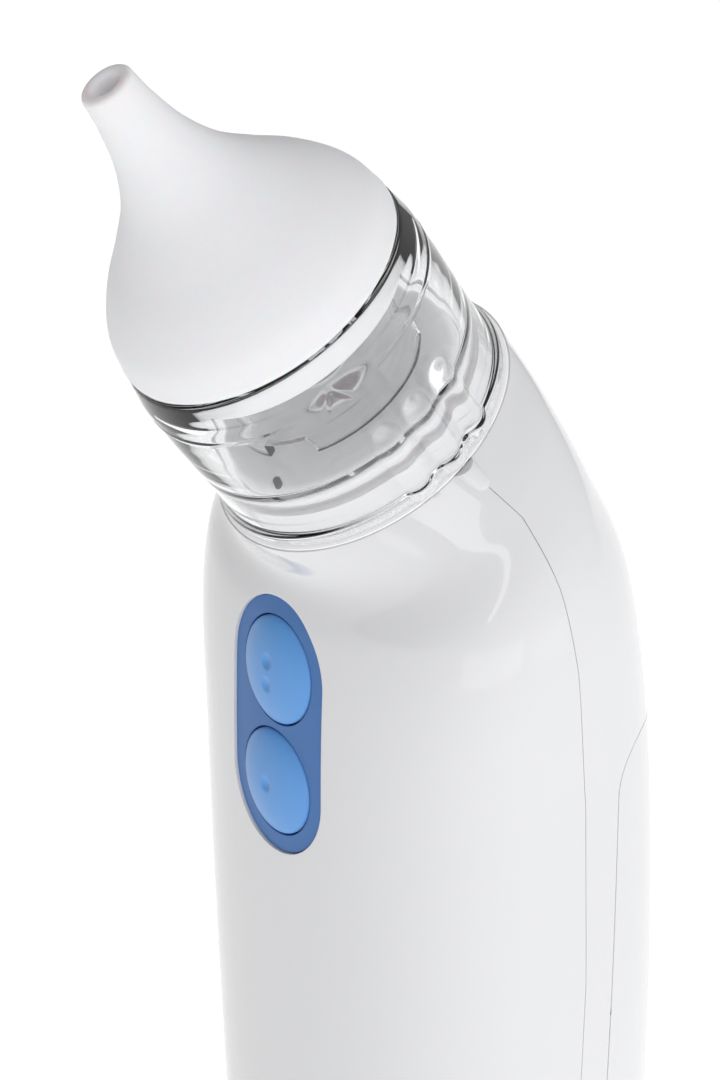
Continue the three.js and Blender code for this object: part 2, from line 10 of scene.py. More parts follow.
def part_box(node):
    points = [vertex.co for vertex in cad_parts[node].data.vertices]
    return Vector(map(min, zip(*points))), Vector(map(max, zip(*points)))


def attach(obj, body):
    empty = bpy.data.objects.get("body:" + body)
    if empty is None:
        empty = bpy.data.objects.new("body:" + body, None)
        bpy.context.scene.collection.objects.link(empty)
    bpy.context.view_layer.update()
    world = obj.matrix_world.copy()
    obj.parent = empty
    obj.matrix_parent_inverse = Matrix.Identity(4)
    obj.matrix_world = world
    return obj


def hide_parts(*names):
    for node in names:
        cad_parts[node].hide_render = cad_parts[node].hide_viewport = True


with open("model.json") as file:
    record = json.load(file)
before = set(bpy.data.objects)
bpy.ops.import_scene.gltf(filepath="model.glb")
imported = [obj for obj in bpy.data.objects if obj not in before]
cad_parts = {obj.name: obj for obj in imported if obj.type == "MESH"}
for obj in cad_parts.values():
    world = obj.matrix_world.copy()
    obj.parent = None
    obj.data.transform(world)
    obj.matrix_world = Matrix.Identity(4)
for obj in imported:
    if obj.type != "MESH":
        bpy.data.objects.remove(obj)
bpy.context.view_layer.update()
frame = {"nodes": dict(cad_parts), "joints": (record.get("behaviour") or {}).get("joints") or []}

# Battery nasal aspirator. Shapes are worked out in millimetres and put in place in metres.
# The head's own axes have their origin in the middle of the cup's rim, with +Z out of the nozzle.
MM = 0.001
RECORD_JOINTS = {joint["name"]: joint for joint in frame["joints"]}
RIM = Vector(RECORD_JOINTS["cup_twist"]["pos_m"]) / MM
AXIS = Vector(RECORD_JOINTS["cup_twist"]["axis"]).normalized()
TILT = math.atan2(-AXIS.y, AXIS.z)
HEAD = Matrix.Translation(RIM) @ Matrix.Rotation(TILT, 4, "X")

# ---- driving dimensions, as the CAD model has them ----
WALL = 2.0
SEAM = 0.1  # what shows of the joint between the two shells
NECK_TOP, NECK_R, NECK_HOLE = -22.35, 17.9, 15.2
BASE_ROUND = 5.0
PARTING = [(-9.9, 119.8), (-6.4, 115), (-4.6, 108), (-2.9, 98.5), (-1, 82), (0, 60), (0, 30), (1.5, 0)]
DOOR = {"front": 4.2, "top": 87.5, "bottom": 5.0, "corner": 6.0}
DOOR_GAP = 0.16
SCOOP = {"r": 9.0, "y": 27.2, "z": 84.5}
TONGUE_DEPTH = 0.32
TAB = {"r": 1.45, "top": (16.9, -22), "low": (18.6, -24.8)}
BULKHEAD = {"front": -1.0, "back": 0.8, "low": 2.2, "high": 88.0}
MOTOR_BOX = {"half": 15.5, "back": 13.4, "low": 62, "high": 88}
PANEL_HALF = 8.39
KEY_R = 6.08
KEY_RISE = 1.4


def middle(node):
    """Middle of a CAD node's box, in millimetres."""
    low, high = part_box(node)
    return (low + high) / 2 / MM


HIGH_KEY = middle("high_power_button")
LOW_KEY = middle("low_power_button")


# ---- finishes ----
def new_group(name, inputs, outputs):
    group = bpy.data.node_groups.new(name, "ShaderNodeTree")
    for label, kind, value in inputs:
        socket = group.interface.new_socket(label, in_out="INPUT", socket_type=kind)
        socket.default_value = value
    for label, kind in outputs:
        group.interface.new_socket(label, in_out="OUTPUT", socket_type=kind)
    entry = group.nodes.new("NodeGroupInput")
    leave = group.nodes.new("NodeGroupOutput")
    return group, entry, leave


def moulded_surface():
    """Slow drift of tone and gloss across a moulding, with a fine grain for the bump."""
    group, entry, leave = new_group(
        "moulded_surface",
        [
            ("Base", "NodeSocketColor", (0.8, 0.8, 0.8, 1)),
            ("Drift", "NodeSocketColor", (0.7, 0.7, 0.7, 1)),
            ("Drift Amount", "NodeSocketFloat", 0.3),
            ("Drift Scale", "NodeSocketFloat", 40.0),
            ("Gloss Low", "NodeSocketFloat", 0.2),
            ("Gloss High", "NodeSocketFloat", 0.3),
            ("Grain Scale", "NodeSocketFloat", 2500.0),
        ],
        [("Color", "NodeSocketColor"), ("Roughness", "NodeSocketFloat"), ("Height", "NodeSocketFloat")],
    )
    nodes, links = group.nodes, group.links
    place = nodes.new("ShaderNodeTexCoord")
    drift = nodes.new("ShaderNodeTexNoise")
    drift.inputs["Detail"].default_value = 3
    links.new(place.outputs["Object"], drift.inputs["Vector"])
    links.new(entry.outputs["Drift Scale"], drift.inputs["Scale"])
    amount = nodes.new("ShaderNodeMath")
    amount.operation = "MULTIPLY"
    links.new(drift.outputs["Fac"], amount.inputs[0])
    links.new(entry.outputs["Drift Amount"], amount.inputs[1])
    tone = nodes.new("ShaderNodeMix")
    tone.data_type = "RGBA"
    links.new(amount.outputs[0], tone.inputs["Factor"])
    links.new(entry.outputs["Base"], tone.inputs["A"])
    links.new(entry.outputs["Drift"], tone.inputs["B"])
    gloss = nodes.new("ShaderNodeMapRange")
    gloss.inputs["From Min"].default_value = 0.3
    gloss.inputs["From Max"].default_value = 0.7
    links.new(drift.outputs["Fac"], gloss.inputs["Value"])
    links.new(entry.outputs["Gloss Low"], gloss.inputs["To Min"])
    links.new(entry.outputs["Gloss High"], gloss.inputs["To Max"])
    grain = nodes.new("ShaderNodeTexNoise")
    grain.inputs["Detail"].default_value = 2
    links.new(place.outputs["Object"], grain.inputs["Vector"])
    links.new(entry.outputs["Grain Scale"], grain.inputs["Scale"])
    links.new(tone.outputs["Result"], leave.inputs["Color"])
    links.new(gloss.outputs["Result"], leave.inputs["Roughness"])
    links.new(grain.outputs["Fac"], leave.inputs["Height"])
    return group


MOULDED = moulded_surface()


def finish(name, base, drift, gloss, *, amount=0.5, drift_scale=40, grain_scale=2500, bump=0.02,
           bump_mm=0.01, **sockets):
    """A material whose tone, gloss and grain come from the moulded surface group."""
    material = bpy.data.materials.new(name)
    material.use_nodes = True
    nodes, links = material.node_tree.nodes, material.node_tree.links
    shader = nodes["Principled BSDF"]
    surface = nodes.new("ShaderNodeGroup")
    surface.node_tree = MOULDED
    surface.inputs["Base"].default_value = (*base, 1)
    surface.inputs["Drift"].default_value = (*drift, 1)
    surface.inputs["Drift Amount"].default_value = amount
    surface.inputs["Drift Scale"].default_value = drift_scale
    surface.inputs["Gloss Low"].default_value = gloss[0]
    surface.inputs["Gloss High"].default_value = gloss[1]
    surface.inputs["Grain Scale"].default_value = grain_scale
    relief = nodes.new("ShaderNodeBump")
    relief.inputs["Strength"].default_value = bump
    relief.inputs["Distance"].default_value = bump_mm * MM
    links.new(surface.outputs["Color"], shader.inputs["Base Color"])
    links.new(surface.outputs["Roughness"], shader.inputs["Roughness"])
    links.new(surface.outputs["Height"], relief.inputs["Height"])
    links.new(relief.outputs["Normal"], shader.inputs["Normal"])
    for socket, value in sockets.items():
        shader.inputs[socket.replace("_", " ")].default_value = value
    return material


def white_shell():
    return finish("white_shell", (0.755, 0.755, 0.762), (0.73, 0.73, 0.74), (0.12, 0.16),
                  Specular_Tint=(0.3, 0.3, 0.3, 1), Coat_Weight=0.5, Coat_Roughness=0.02)


# Painted light: this white glows (emission 0.3) to stand in for light that the clear cup keeps off the
# deck and the neck seat.
def white_deck_painted_light():
    return finish("white_deck_painted_light", (0.84, 0.84, 0.85), (0.8, 0.8, 0.815), (0.22, 0.3), IOR=1.5,
                  Emission_Color=(1, 1, 1, 1), Emission_Strength=0.3)


def blue_silicone():
    return finish("blue_silicone", (0.12, 0.345, 0.75), (0.1, 0.31, 0.7), (0.38, 0.46),
                  drift_scale=90, bump=0.12, bump_mm=0.02, grain_scale=1800,
                  Sheen_Weight=0.15, Sheen_Roughness=0.4, Specular_IOR_Level=0.45)


def blue_panel():
    return finish("blue_panel", (0.055, 0.175, 0.45), (0.05, 0.16, 0.42), (0.42, 0.5),
                  drift_scale=90, bump=0.12, bump_mm=0.02, grain_scale=1800,
                  Specular_IOR_Level=0.4)


def clear_plastic():
    return finish("clear_plastic", (0.965, 0.97, 0.975), (0.95, 0.955, 0.965), (0.015, 0.03),
                  bump=0.02, bump_mm=0.01, grain_scale=500,
                  Transmission_Weight=1.0, IOR=1.45)


def clear_guard():
    return finish("clear_guard", (0.95, 0.953, 0.96), (0.93, 0.933, 0.942), (0.05, 0.1),
                  bump=0.1, bump_mm=0.05, grain_scale=250,
                  Transmission_Weight=1.0, IOR=1.4)


# Painted light: the nozzle glows faintly (emission 0.03) to brighten it beyond what the lamps give.
def frosted_silicone():
    return finish("frosted_silicone", (0.80, 0.805, 0.82), (0.77, 0.775, 0.79), (0.42, 0.5),
                  drift_scale=60, bump=0.1, bump_mm=0.02, grain_scale=1600,
                  Emission_Color=(1, 1, 1, 1), Emission_Strength=0.03,
                  Specular_Tint=(0.4, 0.4, 0.4, 1),
                  Subsurface_Weight=0.5, Subsurface_Scale=0.002, IOR=1.41)


# Painted light: this white glows (emission 0.3) so that the nozzle's seat, shaded behind the cup's wall,
# shows lighter.
def frosted_plug_painted_light():
    return finish("frosted_plug_painted_light", (0.86, 0.865, 0.875), (0.84, 0.845, 0.855), (0.42, 0.5),
                  bump=0.1, bump_mm=0.02, grain_scale=1600,
                  Emission_Color=(1, 1, 1, 1), Emission_Strength=0.3)


def seal_silicone():
    return finish("seal_silicone", (0.82, 0.83, 0.84), (0.78, 0.79, 0.8), (0.3, 0.4),
                  Subsurface_Weight=0.3, Subsurface_Scale=0.001)


def black_plastic():
    return finish("black_plastic", (0.022, 0.023, 0.026), (0.04, 0.041, 0.045), (0.35, 0.5),
                  bump=0.2, bump_mm=0.03, grain_scale=1400)


def grey_plastic():
    return finish("grey_plastic", (0.27, 0.28, 0.3), (0.22, 0.23, 0.25), (0.35, 0.45),
                  bump=0.15, bump_mm=0.03)


def crank_plastic():
    return finish("crank_plastic", (0.8, 0.77, 0.68), (0.74, 0.7, 0.6), (0.35, 0.45), bump=0.1)


def plated_steel():
    return finish("plated_steel", (0.62, 0.63, 0.65), (0.5, 0.5, 0.52), (0.2, 0.36),
                  drift_scale=120, bump=0.1, bump_mm=0.01, Metallic=1.0)


def spring_steel():
    return finish("spring_steel", (0.7, 0.7, 0.7), (0.55, 0.55, 0.56), (0.16, 0.3),
                  drift_scale=200, Metallic=1.0)


def lead_insulation(name, base):
    shade = tuple(0.75 * value for value in base)
    return finish(name, base, shade, (0.35, 0.45), drift_scale=300)


def banded_wrap(name, low, high):
    """Battery sleeve: dark film with a pale band between two heights."""
    material = finish(name, (0.03, 0.035, 0.042), (0.05, 0.055, 0.065), (0.22, 0.34),
                      drift_scale=200, Metallic=0.3, Coat_Weight=0.4, Coat_Roughness=0.15)
    nodes, links = material.node_tree.nodes, material.node_tree.links
    place = nodes.new("ShaderNodeTexCoord")
    height = nodes.new("ShaderNodeSeparateXYZ")
    band = nodes.new("ShaderNodeMath")
    band.operation = "COMPARE"
    band.inputs[1].default_value = (low + high) / 2 * MM
    band.inputs[2].default_value = (high - low) / 2 * MM
    tone = nodes.new("ShaderNodeMix")
    tone.data_type = "RGBA"
    tone.inputs["B"].default_value = (0.62, 0.64, 0.66, 1)
    links.new(place.outputs["Object"], height.inputs["Vector"])
    links.new(height.outputs["Z"], band.inputs[0])
    links.new(band.outputs["Value"], tone.inputs["Factor"])
    links.new(nodes["Group"].outputs["Color"], tone.inputs["A"])
    links.new(tone.outputs["Result"], nodes["Principled BSDF"].inputs["Base Color"])
    return material


def circuit_green():
    """Solder mask with paler copper tracks under it."""
    material = finish("circuit_green", (0.012, 0.12, 0.055), (0.01, 0.09, 0.04), (0.25, 0.4),
                      drift_scale=150)
    nodes, links = material.node_tree.nodes, material.node_tree.links
    shader = nodes["Principled BSDF"]
    surface = next(node for node in nodes if node.type == "GROUP")
    place = nodes.new("ShaderNodeTexCoord")
    tracks = nodes.new("ShaderNodeTexBrick")
    tracks.inputs["Scale"].default_value = 120
    tracks.inputs["Mortar Size"].default_value = 0.06
    tracks.inputs["Color1"].default_value = (0, 0, 0, 1)
    tracks.inputs["Color2"].default_value = (0, 0, 0, 1)
    tracks.inputs["Mortar"].default_value = (1, 1, 1, 1)
    turn = nodes.new("ShaderNodeMapping")
    turn.inputs["Rotation"].default_value = (math.pi / 2, 0, 0)
    links.new(place.outputs["Object"], turn.inputs["Vector"])
    links.new(turn.outputs["Vector"], tracks.inputs["Vector"])
    tone = nodes.new("ShaderNodeMix")
    tone.data_type = "RGBA"
    tone.inputs["B"].default_value = (0.05, 0.25, 0.1, 1)
    links.new(tracks.outputs["Color"], tone.inputs["Factor"])
    links.new(surface.outputs["Color"], tone.inputs["A"])
    links.new(tone.outputs["Result"], shader.inputs["Base Color"])
    return material


WHITE = white_shell()
DECK_WHITE = white_deck_painted_light()
BLUE = blue_silicone()
BLUE_PANEL = blue_panel()
CLEAR = clear_plastic()
CLEAR_GUARD = clear_guard()
FROSTED = frosted_silicone()
FROSTED_PLUG = frosted_plug_painted_light()
SEAL = seal_silicone()
BLACK = black_plastic()
GREY = grey_plastic()
CRANK = crank_plastic()
STEEL = plated_steel()
SPRING = spring_steel()
WRAP_LEFT = banded_wrap("battery_wrap_left", 9.0, 20.0)
WRAP_RIGHT = banded_wrap("battery_wrap_right", 44.7, 55.7)
BOARD = circuit_green()
RED_LEAD = lead_insulation("lead_red", (0.5, 0.03, 0.035))
BLACK_LEAD = lead_insulation("lead_black", (0.02, 0.02, 0.022))


# ---- making pieces ----
def settle(bm, name, material, body, replaces=(), in_head=False, sharp=35):
    """Turns a bmesh in millimetres into a finished piece, riding on its body."""
    if in_head:
        bmesh.ops.transform(bm, matrix=HEAD, verts=bm.verts)
    bmesh.ops.scale(bm, vec=(MM, MM, MM), verts=bm.verts)
    mesh = bpy.data.meshes.new(name)
    bm.to_mesh(mesh)
    bm.free()
    mesh.shade_smooth()
    mesh.set_sharp_from_angle(angle=math.radians(sharp))
    piece = bpy.data.objects.new(name, mesh)
    bpy.context.scene.collection.objects.link(piece)
    mesh.materials.append(material)
    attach(piece, body)
    if replaces:
        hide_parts(*replaces)
    return piece


def softened(profile, radius, steps=3):
    """The outline with each inner corner rounded off."""
    points = [Vector(p) for p in profile]
    soft = [points[0]]
    for before, corner, after in zip(points, points[1:], points[2:]):
        reach = min(radius, (before - corner).length * 0.45, (after - corner).length * 0.45)
        start = corner + (before - corner).normalized() * reach
        end = corner + (after - corner).normalized() * reach
        for i in range(steps + 1):
            f = i / steps
            soft.append(start * (1 - f) ** 2 + corner * 2 * f * (1 - f) + end * f * f)
    soft.append(points[-1])
    return soft


def turned(profile, segments=96, closed=False):
    """A body turned about Z from (radius, z) points."""
    bm = bmesh.new()
    verts = [bm.verts.new((r, 0, z)) for r, z in profile]
    pairs = list(zip(verts, verts[1:]))
    if closed:
        pairs.append((verts[-1], verts[0]))
    edges = [bm.edges.new(pair) for pair in pairs]
    bmesh.ops.spin(bm, geom=verts + edges, cent=(0, 0, 0), axis=(0, 0, 1),
                   angle=2 * math.pi, steps=segments, use_merge=True)
    bmesh.ops.remove_doubles(bm, verts=bm.verts, dist=1e-4)
    bmesh.ops.recalc_face_normals(bm, faces=bm.faces)
    return bm


def block(bm, low, high, edge=0.4):
    """Adds a box with rounded edges to a bmesh."""
    low, high = Vector(low), Vector(high)
    made = bmesh.ops.create_cube(bm, size=1)["verts"]
    bmesh.ops.scale(bm, vec=high - low, verts=made)
    bmesh.ops.translate(bm, vec=(low + high) / 2, verts=made)
    edges = list({e for v in made for e in v.link_edges})
    bmesh.ops.bevel(bm, geom=edges, offset=edge, offset_type="OFFSET", affect="EDGES",
                    segments=3, profile=0.5, material=-1)


def capsule(bm, start, end, radius):
    """Adds a rod with round ends to a bmesh."""
    start, end = Vector(start), Vector(end)
    along = end - start
    made = bmesh.ops.create_uvsphere(bm, u_segments=32, v_segments=24, radius=radius)["verts"]
    for vert in made:
        vert.co.z += math.copysign(along.length / 2, vert.co.z) if abs(vert.co.z) > 1e-6 else 0
    turn = along.to_track_quat("Z", "Y").to_matrix().to_4x4()
    bmesh.ops.transform(bm, matrix=Matrix.Translation((start + end) / 2) @ turn, verts=made)


# ---- housing surface ----
# Middle lines of the front and back as (y, z), half the width, and how square each section is.
HEAD_2D = [Vector((RIM.y, RIM.z)), Vector((AXIS.y, AXIS.z)), Vector((AXIS.z, -AXIS.y))]
NECK_FRONT = HEAD_2D[0] + HEAD_2D[1] * NECK_TOP - HEAD_2D[2] * NECK_R
NECK_BACK = HEAD_2D[0] + HEAD_2D[1] * NECK_TOP + HEAD_2D[2] * NECK_R
STATIONS = np.array([
    (*NECK_FRONT, *NECK_BACK, NECK_R, 2.0),
    (-20.8, 104.5, 6.4, 125.5, 22.7, 2.1),
    (-21.5, 98.5, 10, 117.5, 27, 2.2),
    (-21.9, 90.5, 14.8, 106.5, 28.5, 2.35),
    (-22.1, 78, 19.1, 86, 28.2, 2.4),
    (-21.9, 60, 21.1, 60, 28.1, 2.4),
    (-21.3, 38, 21.7, 38, 27.6, 2.4),
    (-20.7, 20, 21.5, 20, 27, 2.4),
    (-20.2, BASE_ROUND, 21.2, BASE_ROUND, 26.4, 2.4),
])
LAST = len(STATIONS) - 1
FOOT = LAST + 1  # the foot's rounding ends here, and the flat base begins
TABLE = np.vstack([2 * STATIONS[0] - STATIONS[1], STATIONS, 2 * STATIONS[-1] - STATIONS[-2]])


def section(t, inset=0.0):
    """Front y and z, back y and z, half width and squareness at t stations below the neck."""
    t = np.asarray(t, float)
    on_body = np.clip(t, 0, LAST)
    i = np.minimum(np.floor(on_body).astype(int), LAST - 1)
    f = (on_body - i)[..., None]
    a, b, c, d = TABLE[i], TABLE[i + 1], TABLE[i + 2], TABLE[i + 3]
    row = 0.5 * (2 * b + (c - a) * f + (2 * a - 5 * b + 4 * c - d) * f ** 2
                 + (3 * b - a - 3 * c + d) * f ** 3)
    angle = np.clip(t - LAST, 0, 1) * math.pi / 2
    shrink = inset + (BASE_ROUND - inset) * (1 - np.cos(angle))
    fy, fz, by, bz, half, power = np.moveaxis(row, -1, 0)
    length = np.hypot(by - fy, bz - fz)
    ky, kz = (by - fy) / length * shrink, (bz - fz) / length * shrink
    drop = (BASE_ROUND - inset) * np.sin(angle)
    return fy + ky, fz + kz - drop, by - ky, bz - kz - drop, half - shrink, power


def skin(t, phi, inset=0.0):
    """Points of the housing's surface: phi is 0 at +X and a quarter turn at the back."""
    fy, fz, by, bz, half, power = section(t, inset)
    neck = np.clip(np.asarray(t, float), -1, 0)
    closer = 1 + neck * (1 - NECK_HOLE / NECK_R)  # the neck's top face runs in to its hole
    c, s = np.cos(phi), np.sin(phi)
    across = np.sign(c) * np.abs(c) ** (2 / power) * closer
    back = np.sign(s) * np.abs(s) ** (2 / power) * closer
    return np.stack([half * across, (fy + by) / 2 + (by - fy) / 2 * back,
                     (fz + bz) / 2 + (bz - fz) / 2 * back], -1)


def bisect(low, high, rising, steps=40):
    """Arrays of roots between low and high; rising(x) is positive above the root."""
    low, high = np.array(low, float), np.array(high, float)
    for _ in range(steps):
        mid = (low + high) / 2
        above = rising(mid) > 0
        high = np.where(above, mid, high)
        low = np.where(above, low, mid)
    return (low + high) / 2


def parting_y(z):
    ys, zs = zip(*reversed(PARTING))
    return np.interp(z, zs, ys)


def parting_phi(t, shift):
    """Where the parting line, moved along Y by shift, crosses the section on the +X side."""
    fy, fz, by, bz, _, power = section(t)
    def past(back):
        y = (fy + by) / 2 + (by - fy) / 2 * back
        z = (fz + bz) / 2 + (bz - fz) / 2 * back
        return y - parting_y(z) - shift
    back = bisect(-np.ones_like(fy), np.ones_like(fy), past)
    return np.arcsin(np.sign(back) * np.abs(back) ** (power / 2))


def front_skin(x, z):
    """Point of the front face over a given x and z."""
    x, z = np.asarray(x, float), np.asarray(z, float)
    def forward(t):
        *_, half, power = section(t)
        return -np.maximum(1 - (np.abs(x) / half) ** power, 0) ** (1 / power)
    def below(t):
        _, fz, _, bz, _, _ = section(t)
        return z - ((fz + bz) / 2 + (bz - fz) / 2 * forward(t))
    t = bisect(np.zeros_like(z), np.full_like(z, LAST), below)
    fy, _, by, _, _, _ = section(t)
    return np.stack([x, (fy + by) / 2 + (by - fy) / 2 * forward(t), z], -1)


def side_t_phi(y, z, side):
    """Surface place over a given y and z, on the +X or -X side."""
    def below(t):
        fy, fz, by, bz, _, _ = section(t)
        return -((y - fy) * (bz - fz) - (z - fz) * (by - fy))
    t = bisect(np.zeros_like(z), np.full_like(z, FOOT), below)
    fy, _, by, _, _, power = section(t)
    back = np.clip((y - (fy + by) / 2) / ((by - fy) / 2), -1, 1)
    phi = np.arcsin(np.sign(back) * np.abs(back) ** (power / 2))
    return t, np.where(side > 0, phi, math.pi - phi)


def level_t(phi, z):
    """How far down the body a column at phi reaches height z."""
    return bisect(np.zeros_like(z), np.full_like(z, FOOT), lambda t: z - skin(t, phi)[..., 2])


def shell_sheet(t_rows, columns, angle_at, chord_y, inset=0.0):
    """A sheet over part of the housing: rows down the body, columns round it, and the flat base."""
    bm = bmesh.new()
    rows, cols = len(t_rows), len(columns)
    bmesh.ops.create_grid(bm, x_segments=cols - 1, y_segments=rows - 1, size=1)
    bm.verts.ensure_lookup_table()
    index_t = np.array([round((1 - v.co.y) / 2 * (rows - 1)) for v in bm.verts])
    index_c = np.array([round((v.co.x + 1) / 2 * (cols - 1)) for v in bm.verts])
    t = np.asarray(t_rows)[index_t]
    on_wall = np.minimum(t, FOOT)
    phi = angle_at(on_wall, np.asarray(columns)[index_c])
    points = skin(on_wall, phi, inset)
    in_base = np.clip(t - FOOT, 0, 1)
    points[:, 1] += (chord_y - points[:, 1]) * in_base
    for vert, co in zip(bm.verts, points):
        vert.co = co
    return bm


def rows_down(base_rows=12):
    """Row places: the neck's face, the wall, the foot's rounding and the flat base."""
    return np.concatenate([
        np.linspace(-1, 0, 6)[:-1], np.linspace(0, 5, 90)[:-1], np.linspace(5, LAST, 60)[:-1],
        np.linspace(LAST, FOOT, 12)[:-1], np.linspace(FOOT, FOOT + 1, base_rows),
    ])


def thicken(piece, thickness, edge):
    """A wall of even thickness with its edges eased."""
    wall = piece.modifiers.new("wall", "SOLIDIFY")
    wall.thickness = thickness * MM
    wall.offset = -1
    wall.use_quality_normals = True
    ease = piece.modifiers.new("eased_edges", "BEVEL")
    ease.width = edge * MM
    ease.segments = 3
    ease.limit_method = "ANGLE"
    ease.angle_limit = math.radians(50)
    ease.use_clamp_overlap = True


def close_up(bm):
    bmesh.ops.remove_doubles(bm, verts=bm.verts, dist=1e-3)
    bmesh.ops.dissolve_degenerate(bm, edges=bm.edges, dist=1e-4)
    bmesh.ops.recalc_face_normals(bm, faces=bm.faces)


def face_outwards(bm):
    """Turns an open sheet so that its faces look away from the middle of the body."""
    total = sum(f.normal.dot(f.calc_center_median() - Vector((0, 0, 60))) * f.calc_area()
                for f in bm.faces)
    if total < 0:
        bmesh.ops.reverse_faces(bm, faces=bm.faces)


def edge_loop_to(bm, hole_edges, target, steps):
    """Grows a sheet from its open edge in even steps until it meets the target outline."""
    for step in range(1, steps + 1):
        made = bmesh.ops.extrude_edge_only(bm, edges=hole_edges)["geom"]
        verts = [g for g in made if isinstance(g, bmesh.types.BMVert)]
        hole_edges = [g for g in made if isinstance(g, bmesh.types.BMEdge)]
        coords = np.array([v.co for v in verts])
        for vert, co in zip(verts, target(coords, step / steps)):
            vert.co = co


def open_edges(bm, near):
    return [e for e in bm.edges if e.is_boundary and all(near(v.co) for v in e.verts)]


# ---- housing pieces ----
def window_point(points, grow):
    """Nearest places on the button window's outline, grown outwards."""
    z = np.clip(points[:, 2], LOW_KEY.z, HIGH_KEY.z)
    away = np.stack([points[:, 0], points[:, 2] - z], -1)
    away /= np.linalg.norm(away, axis=1, keepdims=True)
    reach = PANEL_HALF + grow
    return away[:, 0] * reach, z + away[:, 1] * reach


def in_window(co, grow):
    z = min(max(co.z, LOW_KEY.z), HIGH_KEY.z)
    return co.y < -5 and math.hypot(co.x, co.z - z) < PANEL_HALF + grow


def make_front_housing():
    def angle_at(t, s):
        return -math.pi / 2 + s * (parting_phi(t, -SEAM / 2) + math.pi / 2)
    bm = shell_sheet(rows_down(), np.linspace(-1, 1, 121), angle_at, parting_y(0) - SEAM / 2)
    inside = [f for f in bm.faces if in_window(f.calc_center_median(), 1.3)]
    bmesh.ops.delete(bm, geom=inside, context="FACES")
    rim = open_edges(bm, lambda co: in_window(co, 3))

    def towards(points, share):
        x, z = window_point(points, 0)
        if share < 1:
            x, z = points[:, 0] + (x - points[:, 0]) * 0.5, points[:, 2] + (z - points[:, 2]) * 0.5
        return front_skin(x, z)
    edge_loop_to(bm, rim, towards, 3)
    close_up(bm)
    face_outwards(bm)
    piece = settle(bm, "front_housing_shell", WHITE, "handset", ["front_housing"])
    thicken(piece, WALL, 0.22)
    return piece


def door_target(points, grow):
    """Nearest places on the door's outline, grown outwards, as t and phi."""
    x, y, z = points.T
    side = np.sign(x)
    front, top = DOOR["front"] - grow, DOOR["top"] + grow
    bottom = DOOR["bottom"] - grow
    middle_y, middle_z = DOOR["front"] + DOOR["corner"], DOOR["top"] - DOOR["corner"]
    away = np.stack([y - middle_y, z - middle_z], -1)
    away /= np.maximum(np.linalg.norm(away, axis=1, keepdims=True), 1e-9)
    reach = DOOR["corner"] + grow
    in_corner = (y < middle_y) & (z > middle_z)
    down = np.abs(z - bottom) < np.minimum(np.abs(y - front), np.abs(z - top))
    up = (z > middle_z) & ~in_corner
    target_y = np.where(in_corner, middle_y + away[:, 0] * reach, front)
    target_z = np.where(in_corner, middle_z + away[:, 1] * reach, np.clip(z, bottom, top))
    side_t, side_phi = side_t_phi(target_y, target_z, side)
    column = column_phi(points)
    level = np.where(up, top, bottom)
    by_level = level_t(column, level)
    use_level = (up | down) & (y > front)
    return np.where(use_level, by_level, side_t), np.where(use_level, column, side_phi)


def column_phi(points):
    """The phi of points that lie on or near the surface."""
    x, y, z = points.T
    t = bisect(np.zeros_like(z), np.full_like(z, FOOT), lambda t: -section_side(t, y, z))
    fy, _, by, _, half, power = section(t)
    across = np.abs(x) / half
    back = (y - (fy + by) / 2) / ((by - fy) / 2)
    return np.arctan2(np.sign(back) * np.abs(back) ** (power / 2),
                      np.sign(x) * across ** (power / 2))


def section_side(t, y, z):
    fy, fz, by, bz, _, _ = section(t)
    return (y - fy) * (bz - fz) - (z - fz) * (by - fy)


def in_door(co, grow):
    middle_y, middle_z = DOOR["front"] + DOOR["corner"], DOOR["top"] - DOOR["corner"]
    if co.y < middle_y and co.z > middle_z:
        return math.hypot(co.y - middle_y, co.z - middle_z) < DOOR["corner"] + grow
    return (co.y > DOOR["front"] - grow
            and DOOR["bottom"] - grow < co.z < DOOR["top"] + grow)


def rear_sheet(shift, inset=0.0):
    def angle_at(t, s):
        return math.pi / 2 - s * (math.pi / 2 - parting_phi(t, shift))
    columns = np.cos(np.linspace(0, math.pi, 141))
    return shell_sheet(rows_down(), columns, angle_at, parting_y(0) + shift, inset)


def to_door_outline(grow, inset=0.0):
    def towards(points, share):
        t, phi = door_target(points, grow)
        if share < 1:
            here_t = bisect(np.zeros(len(points)), np.full(len(points), float(FOOT)),
                            lambda t: -section_side(t, points[:, 1], points[:, 2]))
            t, phi = (here_t + t) / 2, (column_phi(points) + phi) / 2
        return skin(t, phi, inset)
    return towards


def make_rear_housing():
    bm = rear_sheet(SEAM / 2)
    inside = [f for f in bm.faces if in_door(f.calc_center_median(), 0.9)]
    bmesh.ops.delete(bm, geom=inside, context="FACES")
    rim = open_edges(bm, lambda co: in_door(co, 2.4) and co.y > DOOR["front"] - 2.2)
    edge_loop_to(bm, rim, to_door_outline(DOOR_GAP), 2)
    close_up(bm)
    face_outwards(bm)
    piece = settle(bm, "rear_housing_shell", WHITE, "handset", ["rear_housing"])
    thicken(piece, WALL, 0.18)
    return piece


def make_battery_door():
    bm = rear_sheet(SEAM / 2)
    outside = [f for f in bm.faces if not in_door(f.calc_center_median(), -0.8)]
    bmesh.ops.delete(bm, geom=outside, context="FACES")
    rim = [e for e in bm.edges if e.is_boundary]
    edge_loop_to(bm, rim, to_door_outline(0), 2)
    for vert in bm.verts:
        flat = math.hypot(vert.co.x, vert.co.z - SCOOP["z"])
        if flat < SCOOP["r"]:
            hollow = SCOOP["y"] - math.sqrt(SCOOP["r"] ** 2 - flat ** 2)
            soft = 0.25
            gap = (vert.co.y - hollow) / soft
            vert.co.y -= soft * math.log1p(math.exp(min(gap, 30)))
    close_up(bm)
    face_outwards(bm)
    piece = settle(bm, "battery_door_cover", WHITE, "door", ["battery_door"])
    thicken(piece, WALL, 0.18)
    return piece


